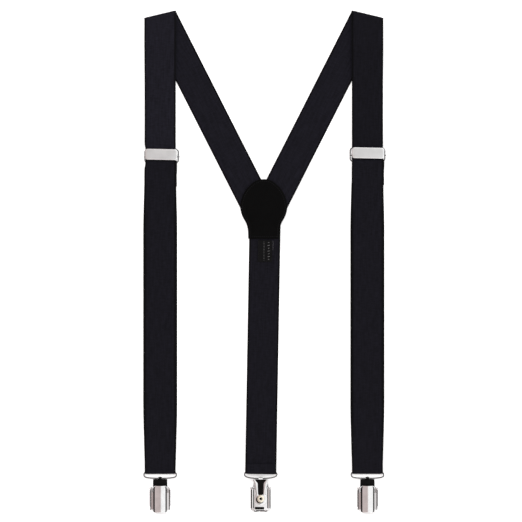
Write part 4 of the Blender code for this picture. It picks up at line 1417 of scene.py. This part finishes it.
def make_lever_pin(name, chrome):
    low, high = node_box(name + "_lever_pin")
    centre = (low + high) / 2
    pin = bar(name + "_pivot_pin", 0.88, (low.x, centre.y, centre.z), (high.x, centre.y, centre.z), chrome)
    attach(pin, name + "_clip")
    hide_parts(name + "_lever_pin")


# ---------------------------------------------------------------- stage

def make_camera():
    data = bpy.data.cameras.new("camera")
    data.sensor_width = SENSOR
    data.lens = SENSOR * CAMERA_HEIGHT / FIELD_WIDTH
    data.clip_start = 0.1
    data.clip_end = 50.0
    camera = bpy.data.objects.new("camera", data)
    camera.location = Vector((*CAMERA_AIM, CAMERA_HEIGHT)) * MM
    bpy.context.scene.collection.objects.link(camera)
    bpy.context.scene.camera = camera


def make_floor():
    mesh = bpy.data.meshes.new("floor")
    h = FLOOR_HALF * MM
    z = -0.0002
    mesh.from_pydata([(-h, -h, z), (h, -h, z), (h, h, z), (-h, h, z)], [], [(0, 1, 2, 3)])
    floor = bpy.data.objects.new("floor", mesh)
    m = Surface("floor", specular=0.0)
    m.set("Base Color", m.blend(m.noise(m.place(), 60.0, 4.0), (0.93, 0.93, 0.93), (0.95, 0.95, 0.95)))
    m.set("Roughness", 1.0)
    m.set("Emission Color", (1.0, 1.0, 1.0, 1.0))
    m.set("Emission Strength", FLOOR_GLOW)
    mesh.materials.append(m.made)
    bpy.context.scene.collection.objects.link(floor)


def make_light():
    """A tent: greyer and warmer on the left, white on the right, with one broad lamp above."""
    world = bpy.data.worlds.new("studio")
    world.use_nodes = True
    nodes = Nodes(world.node_tree)
    side = nodes.scaled(nodes.split(nodes.add("TexCoord", output="Generated"))[0], 0.5, 0.5)
    tent = nodes.add("ValToRGB", {0: side})
    stops = tent.node.color_ramp.elements
    stops[0].position, stops[0].color = 0.0, (0.08, 0.07, 0.07, 1)
    stops[1].position, stops[1].color = 1.0, (0.1, 0.1, 0.1, 1)
    for position, colour in TENT:
        stop = stops.new(position)
        stop.color = (*colour, 1)
    background = world.node_tree.nodes["Background"]
    nodes.put(background.inputs[0], tent)
    nodes.put(background.inputs[1], TENT_POWER)
    scene = bpy.context.scene
    scene.world = world
    scene.view_settings.view_transform = "Standard"

    data = bpy.data.lights.new("lamp", "AREA")
    data.shape = "DISK"
    data.size = LAMP_SIZE
    data.energy = LAMP_POWER
    lamp = bpy.data.objects.new("lamp", data)
    lamp.location = LAMP_PLACE
    lamp.rotation_euler = (-lamp.location.normalized()).to_track_quat("-Z", "Y").to_euler()
    lamp.visible_glossy = False
    scene.collection.objects.link(lamp)


# ---------------------------------------------------------------- everything

def build():
    make_camera()
    make_floor()
    make_light()
    # One webbing in five copies, whose factors paint light and shade onto it: the left upper strap lighter, the
    # right upper darker.
    web = {
        "left_upper": webbing_material("webbing_left_upper", 1.38),
        "right_upper": webbing_material("webbing_right_upper", 0.8),
        "lower": webbing_material("webbing_lower", 0.94),
        "diagonal": webbing_material("webbing_diagonal", 1.1),
        "back": webbing_material("webbing_back", 1.0),
    }
    leather = leather_material()
    black_thread = thread_material("black_thread", (0.012, 0.012, 0.014))
    grey_thread = thread_material("grey_thread", (0.16, 0.16, 0.16))
    label_cloth = label_material()
    satin = metal_material("satin_plate", (0.78, 0.8, 0.8), 0.3, 0.46, brushed=(60.0, 3200.0, 900.0), scratch=0.03)
    dark = metal_material("dark_wire", (0.2, 0.2, 0.2), 0.14, 0.3)
    chrome = metal_material("polished_chrome", (0.84, 0.84, 0.84), 0.05, 0.16, scratch=0.008)
    dull = metal_material("dull_nickel", (0.5, 0.48, 0.48), 0.2, 0.36, brushed=(2500.0, 150.0, 900.0))
    brass = metal_material("polished_brass", (0.93, 0.86, 0.72), 0.12, 0.26, scratch=0.01)
    # A dark metal that only paints shade: the dark strips on the jaws and along the levers' sides.
    shade_metal = metal_material("painted_shade_chrome", (0.035, 0.033, 0.033), 0.15, 0.3)
    # The grip pads' black rubber; the same black also stands for painted shade on the hangers and under the
    # levers.
    black = plastic_material("black_rubber_and_shade", (0.0012, 0.0011, 0.0011))
    for side in SIDES:
        diagonal = make_diagonal(side, web["diagonal"])
        bend = make_fold(side, web[side + "_upper"])
        make_upper(side, web[side + "_upper"])
        make_lower(side, web["lower"])
        make_slider(side, satin, dark)
    make_back_strap(web, black_thread)
    make_yoke(leather, black_thread)
    make_label(label_cloth, black_thread, grey_thread)
    for name in CLIPS:
        make_loop(name, dark)
        make_hanger(name, chrome, black)
        make_rivet(name, brass)
        make_rear_jaw(name, chrome, dull, shade_metal)
        make_grip_pad(name, black)
        make_front_jaw(name, dull)
        make_lever(name, chrome, shade_metal, black)
        make_lever_pin(name, chrome)


build()
